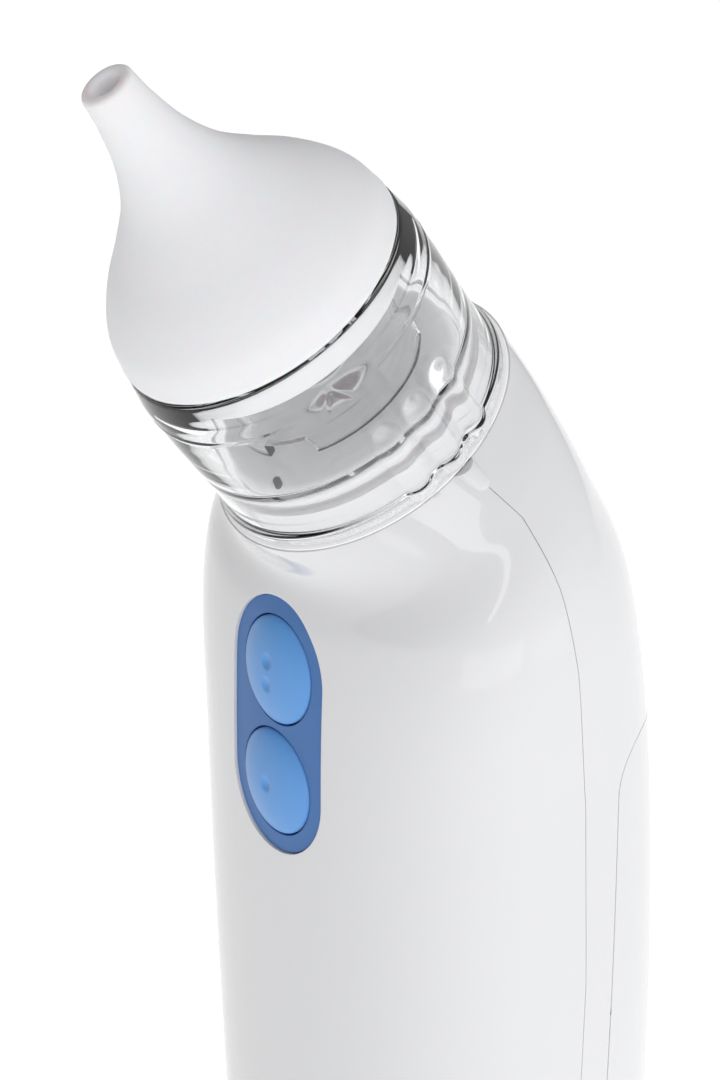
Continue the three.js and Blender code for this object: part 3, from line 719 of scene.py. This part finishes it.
def make_locating_tabs():
    """The raised tab under the cup's middle grip rib on each side, which shows where the cup locks."""
    bm = bmesh.new()
    for side in (-1, 1):
        (top_r, top_z), (low_r, low_z) = TAB["top"], TAB["low"]
        capsule(bm, (side * top_r, 0, top_z), (side * low_r, 0, low_z), TAB["r"])
    bmesh.ops.bisect_plane(bm, geom=bm.verts[:] + bm.edges[:] + bm.faces[:], dist=1e-5,
                           plane_co=(0, 0, NECK_TOP), plane_no=(0, 0, 1), clear_outer=True)
    bmesh.ops.holes_fill(bm, edges=[e for e in bm.edges if e.is_boundary], sides=0)
    settle(bm, "locating_tabs", WHITE, "handset", in_head=True)


def make_rear_inside():
    """Bulkhead, motor box and the shelf over the door: what shows when the door is open."""
    bm = bmesh.new()
    front, back, low, high = BULKHEAD.values()
    bmesh.ops.create_grid(bm, x_segments=12, y_segments=60, size=1)
    for vert in bm.verts:
        z = low + (high - low) * (vert.co.y + 1) / 2
        t, phi = side_t_phi(np.array([back]), np.array([z]), 1)
        half = float(skin(t, phi, WALL)[0, 0])
        vert.co = (vert.co.x * half, back, z)
    bmesh.ops.recalc_face_normals(bm, faces=bm.faces)
    if bm.faces[0].normal.y < 0:
        bmesh.ops.reverse_faces(bm, faces=bm.faces)
    bulkhead = settle(bm, "rear_bulkhead", WHITE, "handset")
    thicken(bulkhead, back - front, 0.1)
    box = bmesh.new()
    half, behind, floor, ceiling = MOTOR_BOX.values()
    block(box, (-half, back - 0.2, floor), (half, behind, ceiling), 1.2)
    for x in (-7, 0, 7):
        block(box, (x - 0.6, behind - 0.2, floor + 2), (x + 0.6, behind + 0.5, ceiling - 2), 0.25)
    settle(box, "motor_box", WHITE, "handset")
    shelf = bmesh.new()
    bmesh.ops.create_grid(shelf, x_segments=48, y_segments=6, size=1)
    top = DOOR["top"] + DOOR_GAP + 0.1
    start = side_t_phi(np.array([back]), np.array([top]), 1)[1][0]
    for vert in shelf.verts:
        phi = np.array([math.pi / 2 - vert.co.x * (math.pi / 2 - start)])
        t = level_t(phi, np.array([top]))
        x, y, z = skin(t, phi, 1.0)[0]
        share = (vert.co.y + 1) / 2
        vert.co = (x, back + (y - back) * share, top)
    bmesh.ops.remove_doubles(shelf, verts=shelf.verts, dist=1e-3)
    bmesh.ops.recalc_face_normals(shelf, faces=shelf.faces)
    if shelf.faces[0].normal.z > 0:
        bmesh.ops.reverse_faces(shelf, faces=shelf.faces)
    piece = settle(shelf, "door_shelf", WHITE, "handset")
    thicken(piece, 1.6, 0.1)


def make_seam_tongue():
    """The tongue that closes the joint between the shells a little way in."""
    for side in (-1, 1):
        def angle_at(t, s, side=side):
            phi = parting_phi(t, s * 0.8)
            return phi if side > 0 else math.pi - phi
        bm = shell_sheet(rows_down(3), np.linspace(-1, 1, 7), angle_at, parting_y(0), TONGUE_DEPTH)
        base = [f for f in bm.faces if f.calc_center_median().z < BASE_ROUND * 0.2]
        bmesh.ops.delete(bm, geom=base, context="FACES")
        close_up(bm)
        face_outwards(bm)
        name = "seam_tongue_right" if side > 0 else "seam_tongue_left"
        thicken(settle(bm, name, WHITE, "handset"), 0.6, 0.05)


def make_door_hooks():
    """Two hooks at the foot of the door that turn under the housing's lip."""
    bm = bmesh.new()
    for side in (-1, 1):
        low, high = sorted((side * 1, side * 4))
        block(bm, (low, 16.9, 3.4), (high, 18, 7), 0.25)
        block(bm, (low, 16.95, 5.3), (high, 19.5, 6.95), 0.25)
    settle(bm, "door_hooks", WHITE, "door")


make_front_housing()
make_rear_housing()
make_battery_door()
make_seam_tongue()
make_door_hooks()
make_locating_tabs()
make_rear_inside()


# ---- suction head ----
def through(points, per=10):
    """A smooth outline through the points."""
    points = np.array(points, float)
    padded = np.vstack([2 * points[0] - points[1], points, 2 * points[-1] - points[-2]])
    made = []
    for a, b, c, d in zip(padded, padded[1:], padded[2:], padded[3:]):
        for f in np.arange(per) / per:
            made.append(0.5 * (2 * b + (c - a) * f + (2 * a - 5 * b + 4 * c - d) * f ** 2
                               + (3 * b - a - 3 * c + d) * f ** 3))
    return [tuple(p) for p in made] + [tuple(points[-1])]


def spaced(profile, step):
    """The outline with extra points, so that none are further apart than step."""
    made = [Vector(profile[0])]
    for start, end in zip(profile, profile[1:]):
        start, end = Vector(start), Vector(end)
        count = max(1, math.ceil((end - start).length / step))
        made += [start.lerp(end, (i + 1) / count) for i in range(count)]
    return made


def make_nozzle():
    bell = through([(16.45, 0.35), (15.6, 3.67), (13.25, 7.33), (10, 11), (6.5, 15.4), (4.35, 20),
                    (3.3, 24.5), (3.0, 26.9)])
    tip = softened([bell[-1], (2.85, 28.5), (1.5, 28.5), (1.25, 27)], 0.9, 6)
    inside = through([(1.25, 27), (1.3, 21.5), (2.6, 18.2), (4.9, 15), (8.3, 10.6), (11.5, 7),
                      (13.3, 3.6), (13.6, 0)])
    seat = softened([(13.6, 0), (13.6, -4), (14.9, -4), (15.05, -0.15), (16.4, -0.15), bell[0]],
                    0.35, 3)
    profile = [*bell, *tip[1:], *inside[1:], *seat[1:-1]]
    bm = turned(profile, 160, closed=True)
    settle(bm, "silicone_nozzle_soft", FROSTED, "nozzle", ["silicone_nozzle"],
           in_head=True, sharp=60)
    # Painted light: a glowing copy laid just over the nozzle's seat, to lighten the band where the seat
    # shows shaded through the cup.
    plug = turned(softened([(13.6, -0.4), (13.6, -4.03), (14.93, -4.03), (15.08, -0.3), (13.6, -0.4)],
                           0.2), 128)
    settle(plug, "nozzle_plug_painted_light", FROSTED_PLUG, "nozzle", in_head=True, sharp=60)


RIB_ANGLES = [-15, 0, 15, 165, 180, 195]
RIB = {"half": 1.9, "height": 0.85, "from": -13.0, "to": -21.4}
FILL = {"z": -5.65, "half": 0.26, "rise": 0.09}
FILL_ARCS = [(-105, -38), (-3, 70)]
MARK = {"angle": -20.5, "low": -7.2, "high": -4.1, "half": 2.1, "line": 0.32}


def swell(away, reach, height):
    """Height of a soft ridge at a distance from its middle line."""
    return height * (1 - min(away / reach, 1) ** 2) ** 1.4


def to_line(p, a, b):
    """Distance from p to the straight stretch between a and b."""
    along = b - a
    f = min(max((p - a).dot(along) / along.length_squared, 0), 1)
    return (p - a - along * f).length


def cup_relief(angle, z, wall):
    """How far the grip ribs, the fill line and its triangle stand out from the cup's wall."""
    lift = 0
    for centre in RIB_ANGLES:
        turn = (angle - centre + 180) % 360 - 180
        beyond = max(z - RIB["from"], RIB["to"] - z, 0)
        away = math.hypot(math.radians(turn) * wall, beyond)
        lift = max(lift, swell(away, RIB["half"], RIB["height"]))
    turn = (angle + 180) % 360 - 180
    for low, high in FILL_ARCS:
        past = math.radians(max(low - turn, turn - high, 0)) * wall
        lift = max(lift, swell(math.hypot(z - FILL["z"], past), FILL["half"], FILL["rise"]))
    place = Vector((math.radians(turn - MARK["angle"]) * wall, z))
    corners = [Vector((-MARK["half"], MARK["low"])), Vector((MARK["half"], MARK["low"])),
               Vector((0, MARK["high"]))]
    if abs(place.x) < MARK["half"] + 1 and MARK["low"] - 1 < z < MARK["high"] + 1:
        away = min(to_line(place, a, b) for a, b in zip(corners, corners[1:] + corners[:1]))
        lift = max(lift, swell(away, MARK["line"], FILL["rise"]))
    return lift


def make_cup():
    outside = softened([(15.4, -0.5), (16.5, -0.5), (17.1, -4), (17.1, -9), (16.9, -17),
                        (16.9, -20.4), (17.4, -20.7), (17.4, -22.05), (15.5, -22.05)], 0.5, 4)
    inside = softened([(15.5, -22.05), (15.5, -15.8), (3.4, -15.8), (3.4, -7.2), (4.4, -7.2),
                       (4.4, -15.3), (15.4, -15.3), (15.4, -0.5)], 0.5, 4)
    profile = [*spaced(outside, 0.19), *inside[1:-1]]
    bm = turned(profile, 480, closed=True)
    for vert in bm.verts:
        radius = math.hypot(vert.co.x, vert.co.y)
        if radius > 16.3 and vert.co.z > -22:
            angle = math.degrees(math.atan2(vert.co.y, vert.co.x))
            grown = 1 + cup_relief(angle, vert.co.z, radius) / radius
            vert.co.x *= grown
            vert.co.y *= grown
    settle(bm, "collection_cup_clear", CLEAR, "cup", ["collection_cup"],
           in_head=True, sharp=40)


def make_splash_guard():
    dome = [(7.6 + 4.0 * math.cos(a), -8.4 + 3.5 * math.sin(a))
            for a in np.linspace(0, math.pi / 2, 16)]
    hollow = [(7.6 + 3.0 * math.cos(a), -8.4 + 2.5 * math.sin(a))
              for a in np.linspace(math.pi / 2, 0, 16)]
    rim = softened([hollow[-1], (10.6, -14.3), (11.6, -14.3), dome[0]], 0.3, 3)
    profile = [(0, -5.9), *hollow, *spaced(rim, 0.3)[1:-1], *dome, (0, -4.9)]
    bm = turned(profile, 144)
    for vert in bm.verts:
        angle = math.degrees(math.atan2(vert.co.y, vert.co.x)) % 120
        if abs(angle - 60) < 13 and vert.co.z < -12.1:
            vert.co.z = -12.1 + (vert.co.z + 12.1) * 0.03
    settle(bm, "splash_guard_clear", CLEAR_GUARD, "cup", ["splash_guard"],
           in_head=True, sharp=40)


def make_deck():
    profile = softened([(1.3, -30), (1.9, -30), (1.9, -25.3), (13.2, -25.3), (13.2, -26.1),
                        (16.2, -26.1), (16.2, -24.9), (14.7, -24.9), (14.7, -19.4), (13.9, -19.2),
                        (13.9, -17.8), (14.7, -17.6), (14.7, -16.9), (13.9, -16.1), (2.5, -16.1),
                        (2.5, -13.2), (1.3, -13.2), (1.3, -30)], 0.35, 3)
    bm = turned(profile, 128)
    # The deck takes the glowing white: painted light under the clear cup.
    settle(bm, "suction_deck_white", DECK_WHITE, "handset", ["suction_deck"],
                  in_head=True)
    # Painted light: a thin glowing ring laid on the neck's top face under the cup's flange, where only
    # light through the glass would reach.
    seat = turned(softened([(15.4, -22.33), (17.7, -22.33), (17.7, -22.2), (15.4, -22.2),
                            (15.4, -22.33)], 0.05), 128)
    settle(seat, "neck_seat_painted_light", DECK_WHITE, "handset", in_head=True)
    # Painted shade: a black capsule on the deck stands in for the dark of the air slot's opening.
    slot = bmesh.new()
    capsule(slot, (-0.45, 0, 0), (0.45, 0, 0), 0.42)
    bmesh.ops.transform(slot, verts=slot.verts, matrix=(
        Matrix.Translation((4.6, -12.6, -16.1)) @ Matrix.Rotation(-0.35, 4, "Z")))
    settle(slot, "air_slot_painted_shade", BLACK, "handset", in_head=True)


def make_seals():
    bm = bmesh.new()
    ring = bmesh.ops.create_circle(bm, segments=20, radius=0.55)["verts"]
    bmesh.ops.rotate(bm, verts=ring, cent=(0, 0, 0), matrix=Matrix.Rotation(math.pi / 2, 3, "X"))
    bmesh.ops.translate(bm, verts=ring, vec=(14.65, 0, -18.5))
    bmesh.ops.spin(bm, geom=bm.verts[:] + bm.edges[:], cent=(0, 0, 0), axis=(0, 0, 1),
                   angle=2 * math.pi, steps=128, use_merge=True)
    bmesh.ops.recalc_face_normals(bm, faces=bm.faces)
    settle(bm, "cup_seal_soft", SEAL, "cup_seal", ["cup_seal_ring"],
           in_head=True)
    port = turned(softened([(2.7, -15.8), (3.1, -15.8), (3.1, -13.6), (2.7, -13.6), (2.7, -15.8)],
                           0.12), 64)
    settle(port, "port_seal_soft", SEAL, "handset", ["port_seal"],
           in_head=True)


make_nozzle()
make_cup()
make_splash_guard()
make_deck()
make_seals()


# ---- blue pad and its two keys ----
PANEL_SINK = 0.3
KEY_HOLE = 6.3
DIMPLE_R = 1.0
DIMPLE_DEPTH = 0.34


def panel_floor(x, z):
    """The pad's face: the housing's own curve, sunk a little below it."""
    points = front_skin(x, z)
    points[..., 1] += PANEL_SINK
    return points


def make_button_pad():
    """The pad's soft sheet: rings of faces run from each key's hole out to the pad's edge."""
    bm = bmesh.new()
    between = (HIGH_KEY.z - LOW_KEY.z) / 2
    edge = PANEL_HALF - 0.12
    corner = math.atan2(between, edge)
    turns = np.concatenate([np.linspace(corner, math.pi - corner, 81)[:-1],
                            np.linspace(math.pi - corner, 2 * math.pi + corner, 121)])
    for key, way in ((LOW_KEY, 1), (HIGH_KEY, -1)):
        made = bmesh.ops.create_grid(bm, x_segments=len(turns) - 1, y_segments=10, size=1)["verts"]
        for vert in made:
            turn = turns[round((vert.co.x + 1) / 2 * (len(turns) - 1))]
            dx, dz = math.cos(turn), math.sin(turn)
            out = edge
            if dz > 0:
                out = min(between / dz, edge / max(abs(dx), 1e-6))
            reach = KEY_HOLE + (out - KEY_HOLE) * (vert.co.y + 1) / 2
            vert.co = (key.x + dx * reach, -20, key.z + way * dz * reach)
    coords = np.array([v.co for v in bm.verts])
    for vert, co in zip(bm.verts, panel_floor(coords[:, 0], coords[:, 2])):
        vert.co = co
    close_up(bm)
    if sum(f.normal.y for f in bm.faces) > 0:
        bmesh.ops.reverse_faces(bm, faces=bm.faces)
    pad = settle(bm, "button_pad_soft", BLUE_PANEL, "handset", ["button_pad"])
    thicken(pad, 1.8, 0.06)


def make_key(name, node, body, key, dimples):
    """A domed key: it follows the pad's curve, and shallow dimples tell its power step."""
    crown = [(KEY_R * r, KEY_RISE * (1 - r ** 2.1) ** 0.7) for r in np.linspace(0.985, 0, 40)]
    skirt = softened([(0, -2.2), (KEY_R, -2.2), (KEY_R, -0.05), crown[0]], 0.12, 3)
    bm = turned([*spaced(skirt, 0.5), *crown[1:]], 160)
    for vert in bm.verts:
        if vert.co.z > 0.5:
            for dz in dimples:
                away = math.hypot(vert.co.x, vert.co.y - dz) / DIMPLE_R
                if away < 1:
                    vert.co.z -= DIMPLE_DEPTH * (1 - away ** 2) ** 1.3
    bmesh.ops.rotate(bm, verts=bm.verts, cent=(0, 0, 0), matrix=Matrix.Rotation(math.pi / 2, 3, "X"))
    bmesh.ops.translate(bm, verts=bm.verts, vec=(key.x, 0, key.z))
    coords = np.array([v.co for v in bm.verts])
    floor = panel_floor(coords[:, 0], coords[:, 2])
    for vert, base in zip(bm.verts, floor):
        vert.co.y += base[1]
    settle(bm, name, BLUE, body, [node], sharp=60)


make_button_pad()
make_key("high_key", "high_power_button", "high_button", HIGH_KEY, (1.36, -1.36))
make_key("low_key", "low_power_button", "low_button", LOW_KEY, (0,))


# ---- batteries and contacts ----
# Screws as head radius, head height, shank radius and shank length.
CASE_SCREW = (2.6, 1.7, 1.1, 13.0)
BOARD_SCREW = (1.8, 1.4, 0.8, 5.1)
CELL = {"r": 7.2, "length": 50.5, "x": 7.7, "y": 10.0, "z": 5.6, "rise": 3.0}


def make_battery(name, node, x, flat_end, up, wrap):
    """A cell in its sleeve, with plated ends; up is 1 with the raised end at the top."""
    r, length = CELL["r"], CELL["length"]
    place = Matrix.Translation((x, CELL["y"], flat_end)) @ Matrix.Diagonal((1, 1, up, 1))
    sleeve = turned(softened([(5.9, 0.1), (r - 0.1, 0.1), (r - 0.05, 0.9), (r - 0.05, length - 2.1),
                              (r - 0.6, length - 1.5), (4.6, length - 1.5)], 0.5, 4), 96)
    can = turned(softened([(0, 0.3), (5.7, 0.3), (5.7, 0.02), (6.0, 0.02), (6.2, 0.6)], 0.2), 96)
    nub = turned(softened([(6.0, length - 1.75), (4.7, length - 1.75), (4.5, length - 1.45),
                           (2.75, length - 1.45), (2.7, length - 0.02), (0, length)], 0.4), 96)
    for bm, part, material, slot, node_of in (
            (sleeve, "sleeve", wrap, "battery_wrap", [node]), (can, "flat_end", STEEL, "steel", []),
            (nub, "raised_end", STEEL, "steel", [])):
        bmesh.ops.transform(bm, matrix=place, verts=bm.verts)
        bmesh.ops.recalc_face_normals(bm, faces=bm.faces)
        settle(bm, f"{name}_{part}", material, "handset", node_of)


def coil(bm, x, low, high, low_r, high_r, turns=4.5):
    """Adds a conical spring wound about Z."""
    made = bmesh.ops.create_circle(bm, segments=10, radius=0.28)["verts"]
    bmesh.ops.rotate(bm, verts=made, cent=(0, 0, 0), matrix=Matrix.Rotation(math.pi / 2, 3, "X"))
    bmesh.ops.translate(bm, verts=made, vec=(1, 0, 0))
    edges = list({e for v in made for e in v.link_edges})
    steps = int(turns * 32)
    before = set(bm.verts) - set(made)
    bmesh.ops.spin(bm, geom=made + edges, cent=(0, 0, 0), axis=(0, 0, 1),
                   dvec=(0, 0, (high - low - 0.6) / steps), angle=turns * 2 * math.pi, steps=steps)
    for vert in [v for v in bm.verts if v not in before]:
        share = min(max(vert.co.z / (high - low - 0.6), 0), 1)
        out = math.hypot(vert.co.x, vert.co.y)
        wide = low_r + (high_r - low_r) * share
        grown = (out - 1 + wide) / out
        vert.co = (x + vert.co.x * grown, CELL["y"] + vert.co.y * grown, low + 0.3 + vert.co.z)


def make_contacts():
    x, low, high = CELL["x"], 5.05, 59.25
    for name, x0, x1, z in (("positive_plate", -x - 4, -x + 4, low),
                            ("negative_plate", x - 4.2, x + 4.2, low),
                            ("bridge_plate", -x - 4.2, x + 4.2, high)):
        bm = bmesh.new()
        block(bm, (x0, 6.4, z), (x1, 14.4, z + 0.4), 0.12)
        node = name.replace("plate", "contact")
        if name == "negative_plate":
            coil(bm, x, low + 0.35, CELL["z"] + CELL["rise"] - 0.02, 4.0, 2.6)
        if name == "bridge_plate":
            coil(bm, -x, CELL["z"] + CELL["length"] + 0.05, high + 0.05, 2.6, 4.0)
        bmesh.ops.recalc_face_normals(bm, faces=bm.faces)
        settle(bm, name, SPRING, "handset", [node])


def make_screw(node, x, y_head, z, head_r, head_h, shank_r, length):
    """A pan-head screw along Y, with its head and cross recess towards +Y."""
    bm = turned(softened([(0, -length), (shank_r * 0.5, -length), (shank_r, -length + 1), (shank_r, 0),
                          (head_r, 0), (head_r, head_h * 0.55), (head_r * 0.6, head_h),
                          (0, head_h)], 0.5, 5), 64)
    made = set(bm.verts)
    half = head_r * 0.13
    for size in ((head_r * 0.52, half), (half, head_r * 0.52)):
        block(bm, (-size[0], -size[1], head_h - 0.5), (size[0], size[1], head_h + 0.015), 0.02)
    slots = {f for v in bm.verts if v not in made for f in v.link_faces}
    bmesh.ops.rotate(bm, verts=bm.verts, cent=(0, 0, 0),
                     matrix=Matrix.Rotation(-math.pi / 2, 3, "X"))
    bmesh.ops.translate(bm, verts=bm.verts, vec=(x, y_head, z))
    for face in slots:
        face.material_index = 1
    bmesh.ops.recalc_face_normals(bm, faces=bm.faces)
    screw = settle(bm, f"{node}_turned", STEEL, "handset", [node])
    screw.data.materials.append(BLACK)


make_battery("battery_left", "battery_left", -CELL["x"], CELL["z"] + CELL["length"], -1, WRAP_LEFT)
make_battery("battery_right", "battery_right", CELL["x"], CELL["z"] + CELL["rise"], 1, WRAP_RIGHT)
make_contacts()
for level, z in (("upper", 76), ("lower", 12)):
    for side, x in (("left", -20), ("right", 20)):
        make_screw(f"case_screw_{level}_{side}", x, 1.1, z, *CASE_SCREW)
for side, x in (("left", -8.5), ("right", 8.5)):
    make_screw(f"board_screw_{side}", x, -13.4, 66, *BOARD_SCREW)


# ---- drive ----
def make_motor():
    """The motor's drawn can with its two flats, end cap and shaft boss."""
    bm = turned(softened([(0, 65.6), (3, 65.6), (3, 64.85), (6, 64.85), (6, 65.5), (9.9, 65.5),
                          (9.9, 89.2), (3.2, 89.2), (3.2, 89.95), (0, 89.95)], 0.7, 4), 128)
    for vert in bm.verts:
        vert.co.x = min(max(vert.co.x, -7.58), 7.58)
    bmesh.ops.translate(bm, verts=bm.verts, vec=(0, 1, 0))
    settle(bm, "motor_can", STEEL, "handset", ["motor"], sharp=30)


def make_pump():
    for name, node, material, slot, low, high, r in (
            ("pump_case_body", "pump_case", GREY, "grey_plastic", 90.65, 98.55, 10.3),
            ("pump_diaphragm_sheet", "pump_diaphragm", BLACK, "black_plastic", 98.6, 101.85, 10.1),
            ("pump_head_body", "pump_head", GREY, "grey_plastic", 101.95, 107, 10.3)):
        profile = [(0, low), (r, low), (r, high), (r * 0.6, high), (r * 0.55, high - 0.6),
                   (0, high - 0.6)]
        if node == "pump_head":
            profile = profile[:3] + [(0, high)]
        bm = turned(softened(profile, 0.5), 96)
        bmesh.ops.translate(bm, verts=bm.verts, vec=(0, 1, 0))
        if node == "pump_head":
            nipple = turned(softened([(0, 106.5), (2.1, 106.5), (2.1, 110.2), (1.6, 110.95), (0, 110.95)],
                                     0.3), 48)
            bmesh.ops.translate(nipple, verts=nipple.verts, vec=(0, -5, 0))
            spare = bpy.data.meshes.new("spare")
            nipple.to_mesh(spare)
            nipple.free()
            bm.from_mesh(spare)
            bpy.data.meshes.remove(spare)
        settle(bm, name, material, "handset", [node], sharp=30)


make_motor()
make_pump()


# ---- the rest keeps its CAD shape ----
FINISHES = {
    "suction_deck": DECK_WHITE, "port_seal": SEAL, "cup_seal_ring": SEAL, "collection_cup": CLEAR,
    "splash_guard": CLEAR_GUARD, "silicone_nozzle": FROSTED, "button_pad": BLUE_PANEL,
    "high_power_button": BLUE, "low_power_button": BLUE, "circuit_board": BOARD,
    "battery_left": WRAP_LEFT, "battery_right": WRAP_RIGHT, "motor_lead_red": RED_LEAD,
    "motor_lead_black": BLACK_LEAD, "crank_disc": CRANK, "suction_hose": SEAL,
}
FAMILIES = {
    "screw": STEEL, "contact": SPRING, "motor": STEEL, "switch_body": BLACK, "switch_stem": GREY,
    "chip": BLACK, "pump_case": BLACK, "pump_diaphragm": BLACK, "pump_head": GREY, "cradle": BLACK,
    "housing": WHITE, "door": WHITE,
}
for name, node in frame["nodes"].items():
    material = FINISHES.get(name)
    if material is None:
        material = next(value for key, value in FAMILIES.items() if key in name)
    node.data.materials.clear()
    node.data.materials.append(material)


# ---- camera, floor and light ----
CAMERA_PLACE = (0.2284, -0.1771, 0.2218)
CAMERA_BACK = Vector((0.7471, -0.5458, 0.3793)).normalized()
CAMERA_UP = Vector((-0.3063, 0.2237, 0.9253))
LENS = 93.33
WORLD_DIM, WORLD_BRIGHT = 0.08, 0.95
BRIGHT_SIDE = (0.95, 0.29, 0.1)
FLOOR_GLOW = 0.68


def make_camera():
    data = bpy.data.cameras.new("camera")
    data.lens = LENS
    data.sensor_width = 36
    camera = bpy.data.objects.new("camera", data)
    bpy.context.scene.collection.objects.link(camera)
    right = CAMERA_UP.cross(CAMERA_BACK).normalized()
    up = CAMERA_BACK.cross(right)
    turn = Matrix((right, up, CAMERA_BACK)).transposed().to_4x4()
    camera.matrix_world = Matrix.Translation(CAMERA_PLACE) @ turn
    bpy.context.scene.camera = camera


def make_floor():
    bm = bmesh.new()
    bmesh.ops.create_grid(bm, x_segments=4, y_segments=4, size=6)
    mesh = bpy.data.meshes.new("floor")
    bm.to_mesh(mesh)
    bm.free()
    floor = bpy.data.objects.new("floor", mesh)
    bpy.context.scene.collection.objects.link(floor)
    mesh.materials.append(finish("pale_floor", (0.72, 0.72, 0.72), (0.7, 0.7, 0.7), (0.7, 0.8),
                                 Emission_Color=(1, 1, 1, 1), Emission_Strength=FLOOR_GLOW))


def panel(name, centre, along, size, power, facing=(0.026, -0.012, 0.101)):
    """A soft light panel, with its long side along the given direction, facing the housing."""
    light = bpy.data.lights.new(name, "AREA")
    light.shape = "RECTANGLE"
    light.size, light.size_y = size
    light.energy = power
    lamp = bpy.data.objects.new(name, light)
    bpy.context.scene.collection.objects.link(lamp)
    z = (Vector(centre) - Vector(facing)).normalized()
    x = (Vector(along) - z * Vector(along).dot(z)).normalized()
    lamp.matrix_world = Matrix.Translation(centre) @ Matrix((x, z.cross(x), z)).transposed().to_4x4()
    lamp.visible_camera = False


def make_light():
    """White surroundings that fall off to one side, and three soft panels."""
    world = bpy.data.worlds.new("studio")
    bpy.context.scene.world = world
    world.use_nodes = True
    nodes, links = world.node_tree.nodes, world.node_tree.links
    sky = nodes["Background"]
    place = nodes.new("ShaderNodeTexCoord")
    towards = nodes.new("ShaderNodeVectorMath")
    towards.operation = "DOT_PRODUCT"
    towards.inputs[1].default_value = BRIGHT_SIDE
    fall = nodes.new("ShaderNodeMapRange")
    fall.interpolation_type = "SMOOTHSTEP"
    fall.inputs["From Min"].default_value = -0.8
    fall.inputs["From Max"].default_value = 0.75
    fall.inputs["To Min"].default_value = WORLD_DIM
    fall.inputs["To Max"].default_value = WORLD_BRIGHT
    links.new(place.outputs["Generated"], towards.inputs[0])
    links.new(towards.outputs["Value"], fall.inputs["Value"])
    links.new(fall.outputs["Result"], sky.inputs["Strength"])
    sky.inputs["Color"].default_value = (0.985, 0.99, 1.0, 1)
    panel("front_panel", (0.249, -0.150, 0.048), (0.149, 0.22, 0), (0.266, 0.064), 0.065)
    panel("side_panel", (0.29, 0.08, 0.045), (-0.07, 0.17, 0), (0.17, 0.055), 0.015)
    panel("strip_panel", (0.24, -0.169, 0.236), (0.029, 0.329, 0.377), (0.17, 0.02), 0.035,
          (0.018, -0.013, 0.116))
    bpy.context.scene.view_settings.view_transform = "Standard"


make_camera()
make_floor()
make_light()
